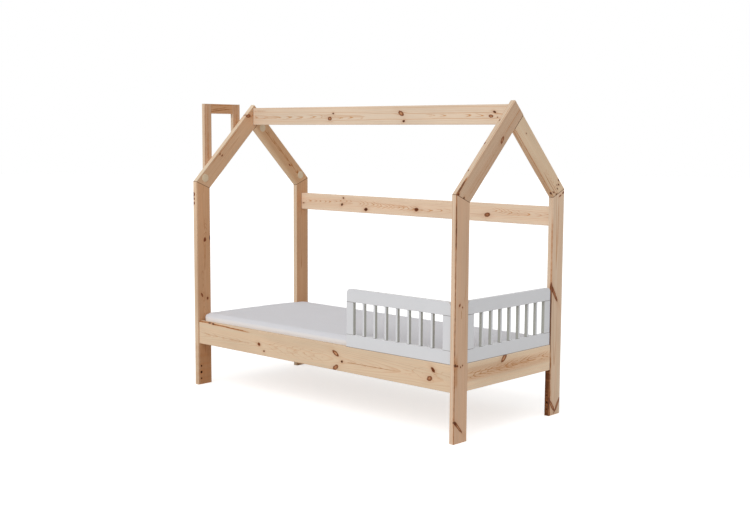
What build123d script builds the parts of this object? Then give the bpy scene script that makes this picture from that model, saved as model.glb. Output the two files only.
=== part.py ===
from build123d import *
from math import cos, radians, sin, tan
from typing import NamedTuple
import os

# Toddler bed in the outline of a small house, in planed pine planks with white guards and a mattress.
# X runs along the bed with the foot end at +X, Y runs across it with the front at -Y, and Z is up.
# The origin is on the floor, at the middle of the bed's footprint. All sizes are in millimetres.

# Mattress, which sets the size of the bed
mattress_length = 1600.0
mattress_width = 700.0
mattress_height = 108.5
mattress_corner_radius = 24.0
mattress_top_round = 20.0
mattress_bottom_round = 14.0
mattress_crown = 4.0
mattress_crown_share = 0.7
mattress_round_steps = 3
mattress_crown_steps = 2
mattress_side_draw = 3.0
mattress_side_clearance = 2.0
mattress_end_clearance = 15.0
mattress_head_gap = 4.0
mattress_seat_clearance = 0.3

# Frame planks
plank = 25.0
post_width = 86.0
beam_height = 86.0
rail_height = 115.0
edge_chamfer = 2.0

# House outline
apex_height = 1410.0
roof_pitch = 45.0
rail_underside = 212.0
rail_setback = 7.0
upper_rail_drop = 81.0
upper_rail_setback = 24.5
ridge_drop = 16.0
ridge_offset = 5.0

# Slat base
ledge_width = 20.0
ledge_height = 28.0
slat_count = 14
slat_width = 68.0
slat_thickness = 15.0
slat_side_clearance = 2.0
slat_end_margin = 20.0
slat_edge_chamfer = 1.5
strap_width = 20.0
strap_thickness = 1.2
strap_inset = 130.0

# Chimney
chimney_thickness = 18.0
chimney_width = 233.0
chimney_inset = 75.0
chimney_stile_width = 47.0
chimney_cross_height = 48.0
chimney_foot_margin = 14.0
chimney_edge_chamfer = 1.5
cross_tenon_length = 15.0
cross_tenon_height = 30.0
cross_tenon_thickness = 6.0

# Guards
guard_height = 260.0
guard_thickness = 18.0
guard_rail_height = 57.0
guard_stile_width = 41.5
guard_corner_radius = 20.0
guard_edge_chamfer = 1.2
guard_end_gap = 2.0
front_guard_gap = 7.5
baluster_count = 7
baluster_width = 10.0
baluster_depth = 14.0
baluster_tenon_length = 8.0
stile_tenon_length = 12.0
stile_tenon_width = 24.0
stile_tenon_thickness = 8.0
guard_dowel_inset = 90.0

# Connectors: a bolt in a pocket with a saddle nut, and fluted dowels beside it
flutes = 8
pocket_sides = 16
bolt_radius = 3.0
bolt_hole_radius = 3.5
bolt_embed = 18.0
bolt_tip = 1.0
pocket_radius = 16.0
pocket_distance = 37.0
pocket_floor_clearance = 0.5
saddle_radius_clearance = 0.2
saddle_depth = 8.0
saddle_height = 12.0
nut_across_corners_radius = 5.8
nut_thickness = 5.0
dowel_radius = 4.0
dowel_in_post = 15.0
dowel_in_rail = 25.0
rail_dowel_offset = 32.0
beam_dowel_offset = 26.0
cap_radius = 20.0
cap_thickness = 2.0
cap_edge_chamfer = 1.0
cap_skirt_depth = 5.0
cap_skirt_clearance = 0.3

# Spare set of holes for fitting the rails near the floor
spare_hole_height = 62.0
spare_bolt_hole_radius = 5.0

# Places worked out from the sizes above
inner_length = mattress_length + 2 * mattress_end_clearance
inner_width = mattress_width + 2 * mattress_side_clearance
length = inner_length + 2 * plank
width = inner_width + 2 * (plank + rail_setback)
foot_x = (length + chimney_thickness) / 2
head_x = foot_x - length
middle_x = (foot_x + head_x) / 2
pitch = radians(roof_pitch)
mitre = (radians(90) - pitch) / 2
eave_height = apex_height - width / 2 * tan(pitch)
mitre_height = eave_height - post_width * tan(mitre)
inner_apex_height = apex_height - post_width / cos(pitch)
butt_end_y = post_width / (2 * sin(pitch))
butt_end_height = apex_height - butt_end_y * tan(pitch)
rail_top = rail_underside + rail_height
rail_middle = rail_underside + rail_height / 2
rail_centre_y = width / 2 - rail_setback - plank / 2
post_inner_y = width / 2 - post_width
upper_rail_y = width / 2 - upper_rail_setback - plank / 2
upper_rail_middle = eave_height - upper_rail_drop - beam_height / 2
ridge_middle = apex_height - ridge_drop - beam_height / 2
slat_underside = rail_underside + ledge_height
slat_top = slat_underside + slat_thickness
mattress_underside = slat_top + strap_thickness + mattress_seat_clearance
guard_length = width - 2 * (post_width + guard_end_gap)
chimney_front_y = -width / 2 + chimney_inset
chimney_rear_y = chimney_front_y + chimney_width
pocket_turn = 180 / pocket_sides
rail_dowels = (-rail_dowel_offset, rail_dowel_offset)
beam_dowels = (-beam_dowel_offset, beam_dowel_offset)

FRONT = -1
REAR = 1
SIDES = {"front": FRONT, "rear": REAR}
INWARD = {"head": 1, "foot": -1}
GABLE_X = {"head": head_x, "foot": foot_x - plank}
GABLE_MIDDLE = {"head": head_x + plank / 2, "foot": foot_x - plank / 2}
GABLE_INNER = {"head": head_x + plank, "foot": foot_x - plank}


class Connector(NamedTuple):
    """A bolted joint: its face, with Z into the pocketed member, the pocket's way out and its dowels."""

    seat: Plane
    opening: Vector
    dowels: tuple
    capped: bool


def side_rail_connector(end, side):
    seat = Plane(
        origin=(GABLE_INNER[end], side * rail_centre_y, rail_middle),
        x_dir=(0, 0, 1),
        z_dir=(INWARD[end], 0, 0),
    )
    return Connector(seat, Vector(0, -side, 0), rail_dowels, False)


def end_rail_connector(end, side):
    seat = Plane(
        origin=(GABLE_MIDDLE[end], side * post_inner_y, rail_middle),
        x_dir=(0, 0, 1),
        z_dir=(0, -side, 0),
    )
    return Connector(seat, Vector(INWARD[end], 0, 0), rail_dowels, False)


def beam_connector(end, y, z):
    seat = Plane(origin=(GABLE_INNER[end], y, z), x_dir=(0, 0, 1), z_dir=(INWARD[end], 0, 0))
    return Connector(seat, Vector(0, REAR, 0), beam_dowels, True)


def eave_connector(end, side):
    middle_y = side * (width / 2 - post_width / 2)
    seat = Plane(
        origin=(GABLE_MIDDLE[end], middle_y, (eave_height + mitre_height) / 2),
        x_dir=(0, cos(mitre), side * sin(mitre)),
        z_dir=(0, -side * sin(mitre), cos(mitre)),
    )
    return Connector(seat, Vector(INWARD[end], 0, 0), beam_dowels, True)


def apex_connector(end):
    seat = Plane(
        origin=(GABLE_MIDDLE[end], butt_end_y / 2, (inner_apex_height + butt_end_height) / 2),
        x_dir=(0, cos(pitch), sin(pitch)),
        z_dir=(0, sin(pitch), -cos(pitch)),
    )
    return Connector(seat, Vector(INWARD[end], 0, 0), beam_dowels, True)


corners = [(end, side) for end in INWARD for side in SIDES.values()]
side_rail_joints = {corner: side_rail_connector(*corner) for corner in corners}
end_rail_joints = {corner: end_rail_connector(*corner) for corner in corners}
eave_joints = {corner: eave_connector(*corner) for corner in corners}
apex_joints = {end: apex_connector(end) for end in INWARD}
upper_rail_joints = {end: beam_connector(end, upper_rail_y, upper_rail_middle) for end in INWARD}
ridge_joints = {end: beam_connector(end, ridge_offset, ridge_middle) for end in INWARD}
connectors = [
    *side_rail_joints.values(),
    *end_rail_joints.values(),
    *eave_joints.values(),
    *apex_joints.values(),
    *upper_rail_joints.values(),
    *ridge_joints.values(),
]


def pocket_plane(joint):
    """Mouth of a joint's pocket, on the face of the plank that it opens on."""
    centre = joint.seat.origin + joint.seat.z_dir * pocket_distance
    return Plane(origin=centre + joint.opening * (plank / 2), x_dir=joint.seat.z_dir, z_dir=joint.opening)


def fluted(plane, offsets, radius, amount, mode=Mode.ADD):
    """Fluted rods, or the holes they fill, at offsets along a plane's X."""
    with BuildSketch(plane) as outline:
        with Locations(*((offset, 0) for offset in offsets)):
            RegularPolygon(radius, flutes)
    extrude(outline.sketch, amount=amount, mode=mode)


def drill_carrier(joint):
    """Bolt and dowel holes of a joint in the member that carries the rail or rafter."""
    fluted(joint.seat, (0,), bolt_radius, -bolt_embed, Mode.SUBTRACT)
    fluted(joint.seat, joint.dowels, dowel_radius, -dowel_in_post, Mode.SUBTRACT)


def drill_carried(joint):
    """Bolt hole, dowel holes and pocket of a joint in the rail or rafter."""
    fluted(joint.seat, (0,), bolt_hole_radius, pocket_distance, Mode.SUBTRACT)
    fluted(joint.seat, joint.dowels, dowel_radius, dowel_in_rail, Mode.SUBTRACT)
    with BuildSketch(pocket_plane(joint)) as mouth:
        RegularPolygon(pocket_radius, pocket_sides, rotation=pocket_turn)
    depth = (plank + saddle_height) / 2 + pocket_floor_clearance
    extrude(mouth.sketch, amount=-depth, mode=Mode.SUBTRACT)


def spare_holes(joint):
    """Three holes in a row straight below a joint, for fitting its rail at the low height."""
    seat = joint.seat
    low_seat = Plane(
        origin=(seat.origin.X, seat.origin.Y, spare_hole_height),
        x_dir=seat.x_dir,
        z_dir=seat.z_dir,
    )
    with Locations(low_seat):
        Hole(spare_bolt_hole_radius, dowel_in_post)
        with Locations((-rail_dowel_offset, 0), (rail_dowel_offset, 0)):
            Hole(dowel_radius, dowel_in_post)


def block(low, high):
    """Plain plank between two opposite corners."""
    corner = Vector(*low)
    span = Vector(*high) - corner
    with Locations(corner + span / 2):
        Box(span.X, span.Y, span.Z)


def save(builder, label):
    builder.part.label = label
    export_step(builder.part, f"parts/{label}.step")


os.makedirs("parts", exist_ok=True)

# Corner posts, mitred at the top to carry the rafters
for end in INWARD:
    for side_name, side in SIDES.items():
        outer_y = side * width / 2
        inner_y = side * post_inner_y
        with BuildPart() as post:
            with BuildSketch(Plane.YZ.offset(GABLE_X[end])):
                Polygon(
                    (outer_y, 0),
                    (inner_y, 0),
                    (inner_y, mitre_height),
                    (outer_y, eave_height),
                    align=None,
                )
            extrude(amount=plank)
            chamfer(post.edges().filter_by(Axis.Z), edge_chamfer)
            drill_carrier(side_rail_joints[end, side])
            drill_carrier(end_rail_joints[end, side])
            drill_carrier(eave_joints[end, side])
            if side == REAR:
                drill_carrier(upper_rail_joints[end])
            spare_holes(side_rail_joints[end, side])
            spare_holes(end_rail_joints[end, side])
        save(post, f"post_{side_name}_{end}")

# Rafters: the front one of each gable runs through to the ridge and the rear one butts against it
slopes = {
    "front": Axis((0, 0, 0), (0, cos(pitch), sin(pitch))),
    "rear": Axis((0, 0, 0), (0, cos(pitch), -sin(pitch))),
}
rafter_outlines = {
    "front": ((0, apex_height), (butt_end_y, butt_end_height)),
    "rear": ((butt_end_y, butt_end_height), (0, inner_apex_height)),
}
for end in INWARD:
    for side_name, side in SIDES.items():
        with BuildPart() as rafter:
            with BuildSketch(Plane.YZ.offset(GABLE_X[end])):
                Polygon(
                    (side * width / 2, eave_height),
                    *rafter_outlines[side_name],
                    (side * post_inner_y, mitre_height),
                    align=None,
                )
            extrude(amount=plank)
            chamfer(rafter.edges().filter_by(slopes[side_name]), edge_chamfer)
            drill_carried(eave_joints[end, side])
            if side == FRONT:
                drill_carrier(apex_joints[end])
                drill_carrier(ridge_joints[end])
            else:
                drill_carried(apex_joints[end])
        save(rafter, f"rafter_{side_name}_{end}")

# Ridge beam and rear upper rail, between the gables
long_beams = {
    "ridge_beam": (ridge_offset, ridge_middle, ridge_joints),
    "rear_upper_rail": (upper_rail_y, upper_rail_middle, upper_rail_joints),
}
for label, (centre_y, centre_z, joints) in long_beams.items():
    with BuildPart() as beam:
        block(
            (GABLE_INNER["head"], centre_y - plank / 2, centre_z - beam_height / 2),
            (GABLE_INNER["foot"], centre_y + plank / 2, centre_z + beam_height / 2),
        )
        chamfer(beam.edges().filter_by(Axis.X), edge_chamfer)
        for joint in joints.values():
            drill_carried(joint)
    save(beam, label)

# Guard places: local X along the guard, local Y up from the rail, local Z outwards
guard_planes = {
    "front": Plane(
        origin=(GABLE_INNER["foot"] - front_guard_gap - guard_length / 2, -rail_centre_y, rail_top),
        x_dir=(1, 0, 0),
        z_dir=(0, -1, 0),
    ),
    "end": Plane(origin=(GABLE_MIDDLE["foot"], 0, rail_top), x_dir=(0, 1, 0), z_dir=(1, 0, 0)),
}
guard_dowels_x = (guard_dowel_inset - guard_length / 2, guard_length / 2 - guard_dowel_inset)


def drill_guard_dowels(guard):
    """Dowel holes of a guard, up into its bottom rail and down into the bed's rail."""
    seat = Plane(origin=guard.origin, x_dir=guard.x_dir, z_dir=guard.y_dir)
    fluted(seat.offset(-dowel_in_rail), guard_dowels_x, dowel_radius, 2 * dowel_in_rail, Mode.SUBTRACT)


# Side rails, between the gables, and end rails, between the posts of a gable
for side_name, side in SIDES.items():
    with BuildPart() as side_rail:
        block(
            (GABLE_INNER["head"], side * rail_centre_y - plank / 2, rail_underside),
            (GABLE_INNER["foot"], side * rail_centre_y + plank / 2, rail_top),
        )
        chamfer(side_rail.edges().filter_by(Axis.X), edge_chamfer)
        for end in INWARD:
            drill_carried(side_rail_joints[end, side])
        if side == FRONT:
            drill_guard_dowels(guard_planes["front"])
    save(side_rail, f"side_rail_{side_name}")

for end in INWARD:
    with BuildPart() as end_rail:
        block(
            (GABLE_X[end], -post_inner_y, rail_underside),
            (GABLE_X[end] + plank, post_inner_y, rail_top),
        )
        chamfer(end_rail.edges().filter_by(Axis.Y), edge_chamfer)
        for side in SIDES.values():
            drill_carried(end_rail_joints[end, side])
        if end == "foot":
            drill_guard_dowels(guard_planes["end"])
    save(end_rail, f"end_rail_{end}")

# Ledges inside the side rails, and the slats that lie on them
for side_name, side in SIDES.items():
    rail_inner_y = side * inner_width / 2
    ledge_inner_y = side * (inner_width / 2 - ledge_width)
    with BuildPart() as ledge:
        block(
            (GABLE_INNER["head"], min(rail_inner_y, ledge_inner_y), rail_underside),
            (GABLE_INNER["foot"], max(rail_inner_y, ledge_inner_y), slat_underside),
        )
    save(ledge, f"slat_ledge_{side_name}")

slat_length = inner_width - 2 * slat_side_clearance
slat_run = inner_length - 2 * slat_end_margin - slat_width
slat_pitch = slat_run / (slat_count - 1)
for index in range(slat_count):
    slat_x = GABLE_INNER["head"] + slat_end_margin + slat_width / 2 + index * slat_pitch
    with BuildPart() as slat:
        block(
            (slat_x - slat_width / 2, -slat_length / 2, slat_underside),
            (slat_x + slat_width / 2, slat_length / 2, slat_top),
        )
        chamfer(slat.faces().sort_by(Axis.Z)[-1].edges().filter_by(Axis.Y), slat_edge_chamfer)
    save(slat, f"slat_{index + 1:02d}")

# Webbing straps that keep the slats apart
strap_length = slat_run + slat_width
for side_name, side in SIDES.items():
    strap_y = side * (slat_length / 2 - strap_inset)
    with BuildPart() as strap:
        block(
            (middle_x - strap_length / 2, strap_y - strap_width / 2, slat_top),
            (middle_x + strap_length / 2, strap_y + strap_width / 2, slat_top + strap_thickness),
        )
    save(strap, f"slat_strap_{side_name}")

# Chimney on the outside of the head gable's front rafter
cross_underside = apex_height - chimney_cross_height
cross_front_y = chimney_front_y + chimney_stile_width
cross_rear_y = chimney_rear_y - chimney_stile_width
chimney_x = head_x - chimney_thickness


def stile_foot(y):
    """Height of the slanting lower end of a chimney stile, just above the rafter's lower edge."""
    return inner_apex_height + y * tan(pitch) + chimney_foot_margin / cos(pitch)


def cross_tenons():
    """Tenons of the chimney's crosspiece, or their mortises when they are taken away."""
    middle = (chimney_x + chimney_thickness / 2, (cross_front_y + cross_rear_y) / 2)
    return Pos(*middle, cross_underside + chimney_cross_height / 2) * Box(
        cross_tenon_thickness,
        cross_rear_y - cross_front_y + 2 * cross_tenon_length,
        cross_tenon_height,
        mode=Mode.PRIVATE,
    )


for side_name, near_y, far_y in (
    ("front", chimney_front_y, cross_front_y),
    ("rear", cross_rear_y, chimney_rear_y),
):
    with BuildPart() as stile:
        with BuildSketch(Plane.YZ.offset(chimney_x)):
            Polygon(
                (near_y, stile_foot(near_y)),
                (far_y, stile_foot(far_y)),
                (far_y, apex_height),
                (near_y, apex_height),
                align=None,
            )
        extrude(amount=chimney_thickness)
        chamfer(stile.edges().filter_by(Axis.Z), chimney_edge_chamfer)
        add(cross_tenons(), mode=Mode.SUBTRACT)
    save(stile, f"chimney_stile_{side_name}")

with BuildPart() as chimney_cross:
    block((chimney_x, cross_front_y, cross_underside), (head_x, cross_rear_y, apex_height))
    chamfer(chimney_cross.edges().filter_by(Axis.Y), chimney_edge_chamfer)
    add(cross_tenons())
save(chimney_cross, "chimney_crosspiece")

# Guards: two rails, two stiles and a row of balusters, tenoned together
guard_opening = guard_height - 2 * guard_rail_height
stile_centre = guard_length / 2 - guard_stile_width / 2
baluster_run = guard_length - 2 * guard_stile_width
baluster_gap = (baluster_run - baluster_count * baluster_width) / (baluster_count + 1)
baluster_pitch = baluster_width + baluster_gap
opening_middle = guard_rail_height + guard_opening / 2


def guard_tenons(plane):
    """Stile and baluster tenons of one guard, as they stand in both of its rails."""
    with BuildPart(mode=Mode.PRIVATE) as tenons:
        with BuildSketch(plane):
            with Locations((-stile_centre, opening_middle), (stile_centre, opening_middle)):
                Rectangle(stile_tenon_width, guard_opening + 2 * stile_tenon_length)
        extrude(amount=stile_tenon_thickness / 2, both=True)
        with BuildSketch(plane):
            with Locations((0, opening_middle)):
                with GridLocations(baluster_pitch, 0, baluster_count, 1):
                    Rectangle(baluster_width, guard_opening + 2 * baluster_tenon_length)
        extrude(amount=baluster_depth / 2, both=True)
    return tenons.part


for guard_name, plane in guard_planes.items():
    tenons = guard_tenons(plane)
    along = Axis((0, 0, 0), plane.x_dir)

    with BuildPart() as bottom_rail:
        with BuildSketch(plane):
            Rectangle(guard_length, guard_rail_height, align=(Align.CENTER, Align.MIN))
        extrude(amount=guard_thickness / 2, both=True)
        chamfer(bottom_rail.edges().filter_by(along), guard_edge_chamfer)
        add(tenons, mode=Mode.SUBTRACT)
        drill_guard_dowels(plane)
    save(bottom_rail, f"guard_{guard_name}_bottom_rail")

    with BuildPart() as top_rail:
        with BuildSketch(plane) as top_outline:
            with Locations((0, guard_height)):
                Rectangle(guard_length, guard_rail_height, align=(Align.CENTER, Align.MAX))
            fillet(top_outline.vertices().group_by(Axis.Y)[-1], guard_corner_radius)
        extrude(amount=guard_thickness / 2, both=True)
        chamfer(top_rail.edges().filter_by(along), guard_edge_chamfer)
        add(tenons, mode=Mode.SUBTRACT)
    save(top_rail, f"guard_{guard_name}_top_rail")

    for stile_name, stile_x in (("left", -stile_centre), ("right", stile_centre)):
        with BuildPart() as guard_stile:
            with BuildSketch(plane):
                with Locations((stile_x, opening_middle)):
                    Rectangle(guard_stile_width, guard_opening)
            extrude(amount=guard_thickness / 2, both=True)
            chamfer(guard_stile.edges().filter_by(Axis.Z), guard_edge_chamfer)
            with BuildSketch(plane):
                with Locations((stile_x, opening_middle)):
                    Rectangle(stile_tenon_width, guard_opening + 2 * stile_tenon_length)
            extrude(amount=stile_tenon_thickness / 2, both=True)
        save(guard_stile, f"guard_{guard_name}_stile_{stile_name}")

    with BuildPart() as balusters:
        with BuildSketch(plane):
            with Locations((0, opening_middle)):
                with GridLocations(baluster_pitch, 0, baluster_count, 1):
                    Rectangle(baluster_width, guard_opening + 2 * baluster_tenon_length)
        extrude(amount=baluster_depth / 2, both=True)
    save(balusters, f"guard_{guard_name}_balusters")

# Hidden fittings, each kind in one node
with BuildPart() as connector_bolts:
    for joint in connectors:
        fluted(joint.seat.offset(-bolt_embed), (0,), bolt_radius, bolt_embed + pocket_distance + bolt_tip)
save(connector_bolts, "connector_bolts")

saddle_radius = pocket_radius - saddle_radius_clearance
saddle_back = pocket_distance - saddle_radius + saddle_depth
with BuildPart() as saddle_nuts:
    for joint in connectors:
        with BuildSketch(pocket_plane(joint).offset(-plank / 2)):
            RegularPolygon(saddle_radius, pocket_sides, rotation=pocket_turn)
            with Locations((saddle_back - pocket_distance, 0)):
                Rectangle(
                    2 * saddle_radius,
                    2 * saddle_radius,
                    align=(Align.MIN, Align.CENTER),
                    mode=Mode.SUBTRACT,
                )
        extrude(amount=saddle_height / 2, both=True)
        with BuildSketch(joint.seat.offset(saddle_back)):
            RegularPolygon(nut_across_corners_radius, 6)
        extrude(amount=nut_thickness)
        fluted(joint.seat, (0,), bolt_radius, 2 * pocket_distance, Mode.SUBTRACT)
save(saddle_nuts, "saddle_nuts")

with BuildPart() as dowels:
    for joint in connectors:
        fluted(joint.seat.offset(-dowel_in_post), joint.dowels, dowel_radius, dowel_in_post + dowel_in_rail)
save(dowels, "dowels")

with BuildPart() as guard_dowels:
    for plane in guard_planes.values():
        seat = Plane(origin=plane.origin, x_dir=plane.x_dir, z_dir=plane.y_dir)
        fluted(seat.offset(-dowel_in_rail), guard_dowels_x, dowel_radius, 2 * dowel_in_rail)
save(guard_dowels, "guard_dowels")

with BuildPart() as cover_caps:
    for joint in connectors:
        if joint.capped:
            mouth = pocket_plane(joint)
            with BuildSketch(mouth):
                Circle(cap_radius)
            extrude(amount=cap_thickness)
            outwards = Axis(mouth.origin, mouth.z_dir)
            chamfer(cover_caps.faces(Select.LAST).sort_by(outwards)[-1].edges(), cap_edge_chamfer)
            with BuildSketch(mouth):
                RegularPolygon(pocket_radius - cap_skirt_clearance, flutes, rotation=pocket_turn)
            extrude(amount=-cap_skirt_depth)
save(cover_caps, "cover_caps")

# Mattress with rounded edges, a crowned top and sides drawn in between the corners, near the head end
mattress_x = GABLE_INNER["head"] + mattress_head_gap + mattress_length / 2
crown_reach = mattress_crown_share * mattress_width / 2
crown_edge = mattress_height - mattress_crown
section_rings = [(0, mattress_bottom_round), (mattress_bottom_round, 0)]
for step in range(mattress_round_steps + 1):
    turn = radians(90 * step / mattress_round_steps)
    rise = crown_edge - mattress_top_round * (1 - sin(turn))
    section_rings.append((rise, mattress_top_round * (1 - cos(turn))))
for step in range(1, mattress_crown_steps + 1):
    share = step / mattress_crown_steps
    rise = crown_edge + mattress_crown * (1 - (1 - share) ** 2)
    section_rings.append((rise, mattress_top_round + share * (crown_reach - mattress_top_round)))


def mattress_side(start, end, draw):
    """One side of the mattress from corner to corner, bowed inwards by its draw."""
    middle = (Vector(*start) + Vector(*end)) / 2
    if draw:
        ThreePointArc(start, middle - middle.normalized() * draw, end)
    else:
        Line(start, end)


with BuildPart() as mattress:
    for rise, inset in section_rings:
        half_length = mattress_length / 2 - inset
        half_width = mattress_width / 2 - inset
        corner = mattress_corner_radius - min(inset, mattress_top_round)
        bend = corner * (1 - cos(radians(45)))
        draw = mattress_side_draw if inset < mattress_top_round else 0
        with BuildSketch(Plane(origin=(mattress_x, 0, mattress_underside + rise))):
            with BuildLine():
                for turn in (1, -1):
                    x = turn * half_length
                    y = turn * half_width
                    near = turn * (half_length - corner)
                    low = turn * (half_width - corner)
                    mattress_side((-near, y), (near, y), draw)
                    ThreePointArc((near, y), (x - turn * bend, y - turn * bend), (x, low))
                    mattress_side((x, low), (x, -low), draw)
                    ThreePointArc((x, -low), (x - turn * bend, turn * bend - y), (near, -y))
            make_face()
    loft(ruled=True)
save(mattress, "mattress")
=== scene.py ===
"""Looks of a toddler bed in the outline of a small house.

Pine planks, white guards, a slat base with webbing straps and a padded mattress are dressed around the
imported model. Lengths are in metres, apart from the figure and knots of the planks, which are in millimetres.
"""

import logging
import math
import random
from collections.abc import Iterable, Mapping, Sequence
from dataclasses import asdict, dataclass
from enum import Enum

import bmesh
import bpy
import numpy as np
from mathutils import Matrix, Vector
from mathutils.bvhtree import BVHTree


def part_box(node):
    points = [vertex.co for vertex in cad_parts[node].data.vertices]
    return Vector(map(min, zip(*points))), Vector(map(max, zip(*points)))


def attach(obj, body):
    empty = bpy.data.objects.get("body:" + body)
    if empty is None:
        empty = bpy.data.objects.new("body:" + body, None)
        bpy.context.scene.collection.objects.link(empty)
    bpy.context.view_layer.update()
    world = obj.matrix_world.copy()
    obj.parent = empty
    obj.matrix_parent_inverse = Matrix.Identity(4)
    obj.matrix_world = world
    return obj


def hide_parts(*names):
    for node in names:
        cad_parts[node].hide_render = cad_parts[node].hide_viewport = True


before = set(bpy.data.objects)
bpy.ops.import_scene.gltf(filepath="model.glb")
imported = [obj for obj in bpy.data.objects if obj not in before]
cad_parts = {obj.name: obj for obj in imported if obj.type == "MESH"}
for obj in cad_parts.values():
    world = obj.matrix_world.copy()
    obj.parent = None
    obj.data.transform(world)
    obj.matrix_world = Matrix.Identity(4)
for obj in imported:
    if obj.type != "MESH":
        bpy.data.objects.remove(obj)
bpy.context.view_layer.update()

log = logging.getLogger("toddler_bed")

MM = 0.001
MERGE_GAP = 0.02 * MM
FLOAT = "NodeSocketFloat"
VECTOR = "NodeSocketVector"
GEOMETRY = "NodeSocketGeometry"
FINISH = "NodeSocketMaterial"
DIAGONAL = math.sqrt(0.5)
WHITE = (1.0, 1.0, 1.0)
SLATS = [f"slat_{i:02d}" for i in range(1, 15)]

Object = bpy.types.Object
Material = bpy.types.Material
Node = bpy.types.Node
BMesh = bmesh.types.BMesh
Socket = bpy.types.NodeSocket
Sockets = Mapping[str, Socket]
Value = float | Sequence[float] | Socket
Colour = tuple[float, float, float]
Stretch = tuple[float, float, float]


class Body(Enum):
    """Bodies that pieces ride on."""

    FRAME = "frame"
    MATTRESS = "mattress"


class Slot(Enum):
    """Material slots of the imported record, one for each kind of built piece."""

    CAPS = "cap_plastic"
    STEEL = "steel"
    COVER = "mattress_cover"
    WEBBING = "webbing"


class Grain(Enum):
    """Ways a plank lies in the bed: the direction of its grain, then of its width."""

    UPRIGHT = ((0.0, 0.0, 1.0), (0.0, 1.0, 0.0))
    LENGTHWISE = ((1.0, 0.0, 0.0), (0.0, 0.0, 1.0))
    CROSSWISE = ((0.0, 1.0, 0.0), (0.0, 0.0, 1.0))
    FLAT = ((0.0, 1.0, 0.0), (1.0, 0.0, 0.0))
    RISING = ((0.0, DIAGONAL, DIAGONAL), (0.0, -DIAGONAL, DIAGONAL))
    FALLING = ((0.0, DIAGONAL, -DIAGONAL), (0.0, DIAGONAL, DIAGONAL))

    def axes(self) -> Matrix:
        """Matrix whose columns are the plank's length, width and thickness directions."""
        length, width = (Vector(way) for way in self.value)
        return Matrix((length, width, length.cross(width))).transposed()


class Wiring:
    """Adds nodes to one node tree and joins them up."""

    def __init__(self, tree: bpy.types.NodeTree) -> None:
        """Keeps the tree that the nodes go into."""
        self.tree = tree

    def feed(self, socket: Socket, value: Value) -> None:
        """Links a socket to an input, or sets the input's own value.

        Args:
            socket: the input.
            value: the socket or value that it gets.
        """
        if isinstance(value, Socket):
            self.tree.links.new(value, socket)
        else:
            socket.default_value = value

    def node(self, kind: str, inputs: Mapping[str | int, Value] | None = None, **settings: object) -> Node:
        """Adds one node.

        Args:
            kind: type of the node.
            inputs: what each input gets, by its name or place.
            settings: the node's own properties.

        Returns:
            The new node.
        """
        made = self.tree.nodes.new(kind)
        for name, value in settings.items():
            setattr(made, name, value)
        for key, value in (inputs or {}).items():
            self.feed(made.inputs[key], value)
        return made

    def out(self, kind: str, inputs: Mapping[str | int, Value] | None = None, **settings: object) -> Socket:
        """Adds one node and gives its first output."""
        return self.node(kind, inputs, **settings).outputs[0]

    def math(self, operation: str, *values: Value) -> Socket:
        """Adds a sum on numbers and gives its result."""
        return self.out("ShaderNodeMath", dict(enumerate(values)), operation=operation)

    def vector(self, operation: str, *values: Value) -> Socket:
        """Adds a sum on vectors and gives its vector."""
        return self.out("ShaderNodeVectorMath", dict(enumerate(values)), operation=operation)

    def reading(self, operation: str, *values: Value) -> Socket:
        """Adds a sum on vectors and gives its number."""
        made = self.node("ShaderNodeVectorMath", dict(enumerate(values)), operation=operation)
        return made.outputs["Value"]

    def scaled(self, vector: Value, scale: Value) -> Socket:
        """Gives a vector or colour times a number."""
        return self.out("ShaderNodeVectorMath", {0: vector, "Scale": scale}, operation="SCALE")

    def split(self, vector: Value) -> tuple[Socket, Socket, Socket]:
        """Gives the three parts of a vector."""
        return tuple(self.node("ShaderNodeSeparateXYZ", {0: vector}).outputs)

    def join(self, x: Value, y: Value, z: Value) -> Socket:
        """Gives the vector of three parts."""
        return self.out("ShaderNodeCombineXYZ", {0: x, 1: y, 2: z})

    def fade(self, value: Value, low: Value, high: Value) -> Socket:
        """Gives a soft step from 0 at low to 1 at high."""
        inputs = {0: value, 1: low, 2: high}
        return self.out("ShaderNodeMapRange", inputs, interpolation_type="SMOOTHSTEP")

    def ramp(self, value: Value, low: Value, high: Value) -> Socket:
        """Gives an even rise from 0 at low to 1 at high."""
        return self.out("ShaderNodeMapRange", {0: value, 1: low, 2: high})

    def less(self, value: Value) -> Socket:
        """Gives what is left of 1."""
        return self.math("SUBTRACT", 1.0, value)

    def product(self, *values: Value) -> Socket:
        """Multiplies numbers.

        Args:
            values: the numbers.

        Returns:
            Their product.
        """
        total = values[0]
        for value in values[1:]:
            total = self.math("MULTIPLY", total, value)
        return total

    def mix(self, share: Value, first: Value, second: Value) -> Socket:
        """Gives a mix of two colours."""
        return self.node("ShaderNodeMix", {0: share, 6: first, 7: second}, data_type="RGBA").outputs[2]

    def noise(self, point: Value, scale: Value, detail: float = 2.0) -> Socket:
        """Gives a cloud of noise, from 0 to 1."""
        return self.out("ShaderNodeTexNoise", {"Vector": point, "Scale": scale, "Detail": detail})

    def swing(self, value: Value, low: float, high: float) -> Socket:
        """Spreads a value from 0 to 1 over a range."""
        return self.math("MULTIPLY_ADD", value, high - low, low)


def rgba(colour: Colour) -> tuple[float, float, float, float]:
    """Gives a colour with full cover."""
    return (*colour, 1.0)


def floats(*names: str) -> dict[str, str]:
    """Gives plain number sockets of these names."""
    return dict.fromkeys(names, FLOAT)


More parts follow.
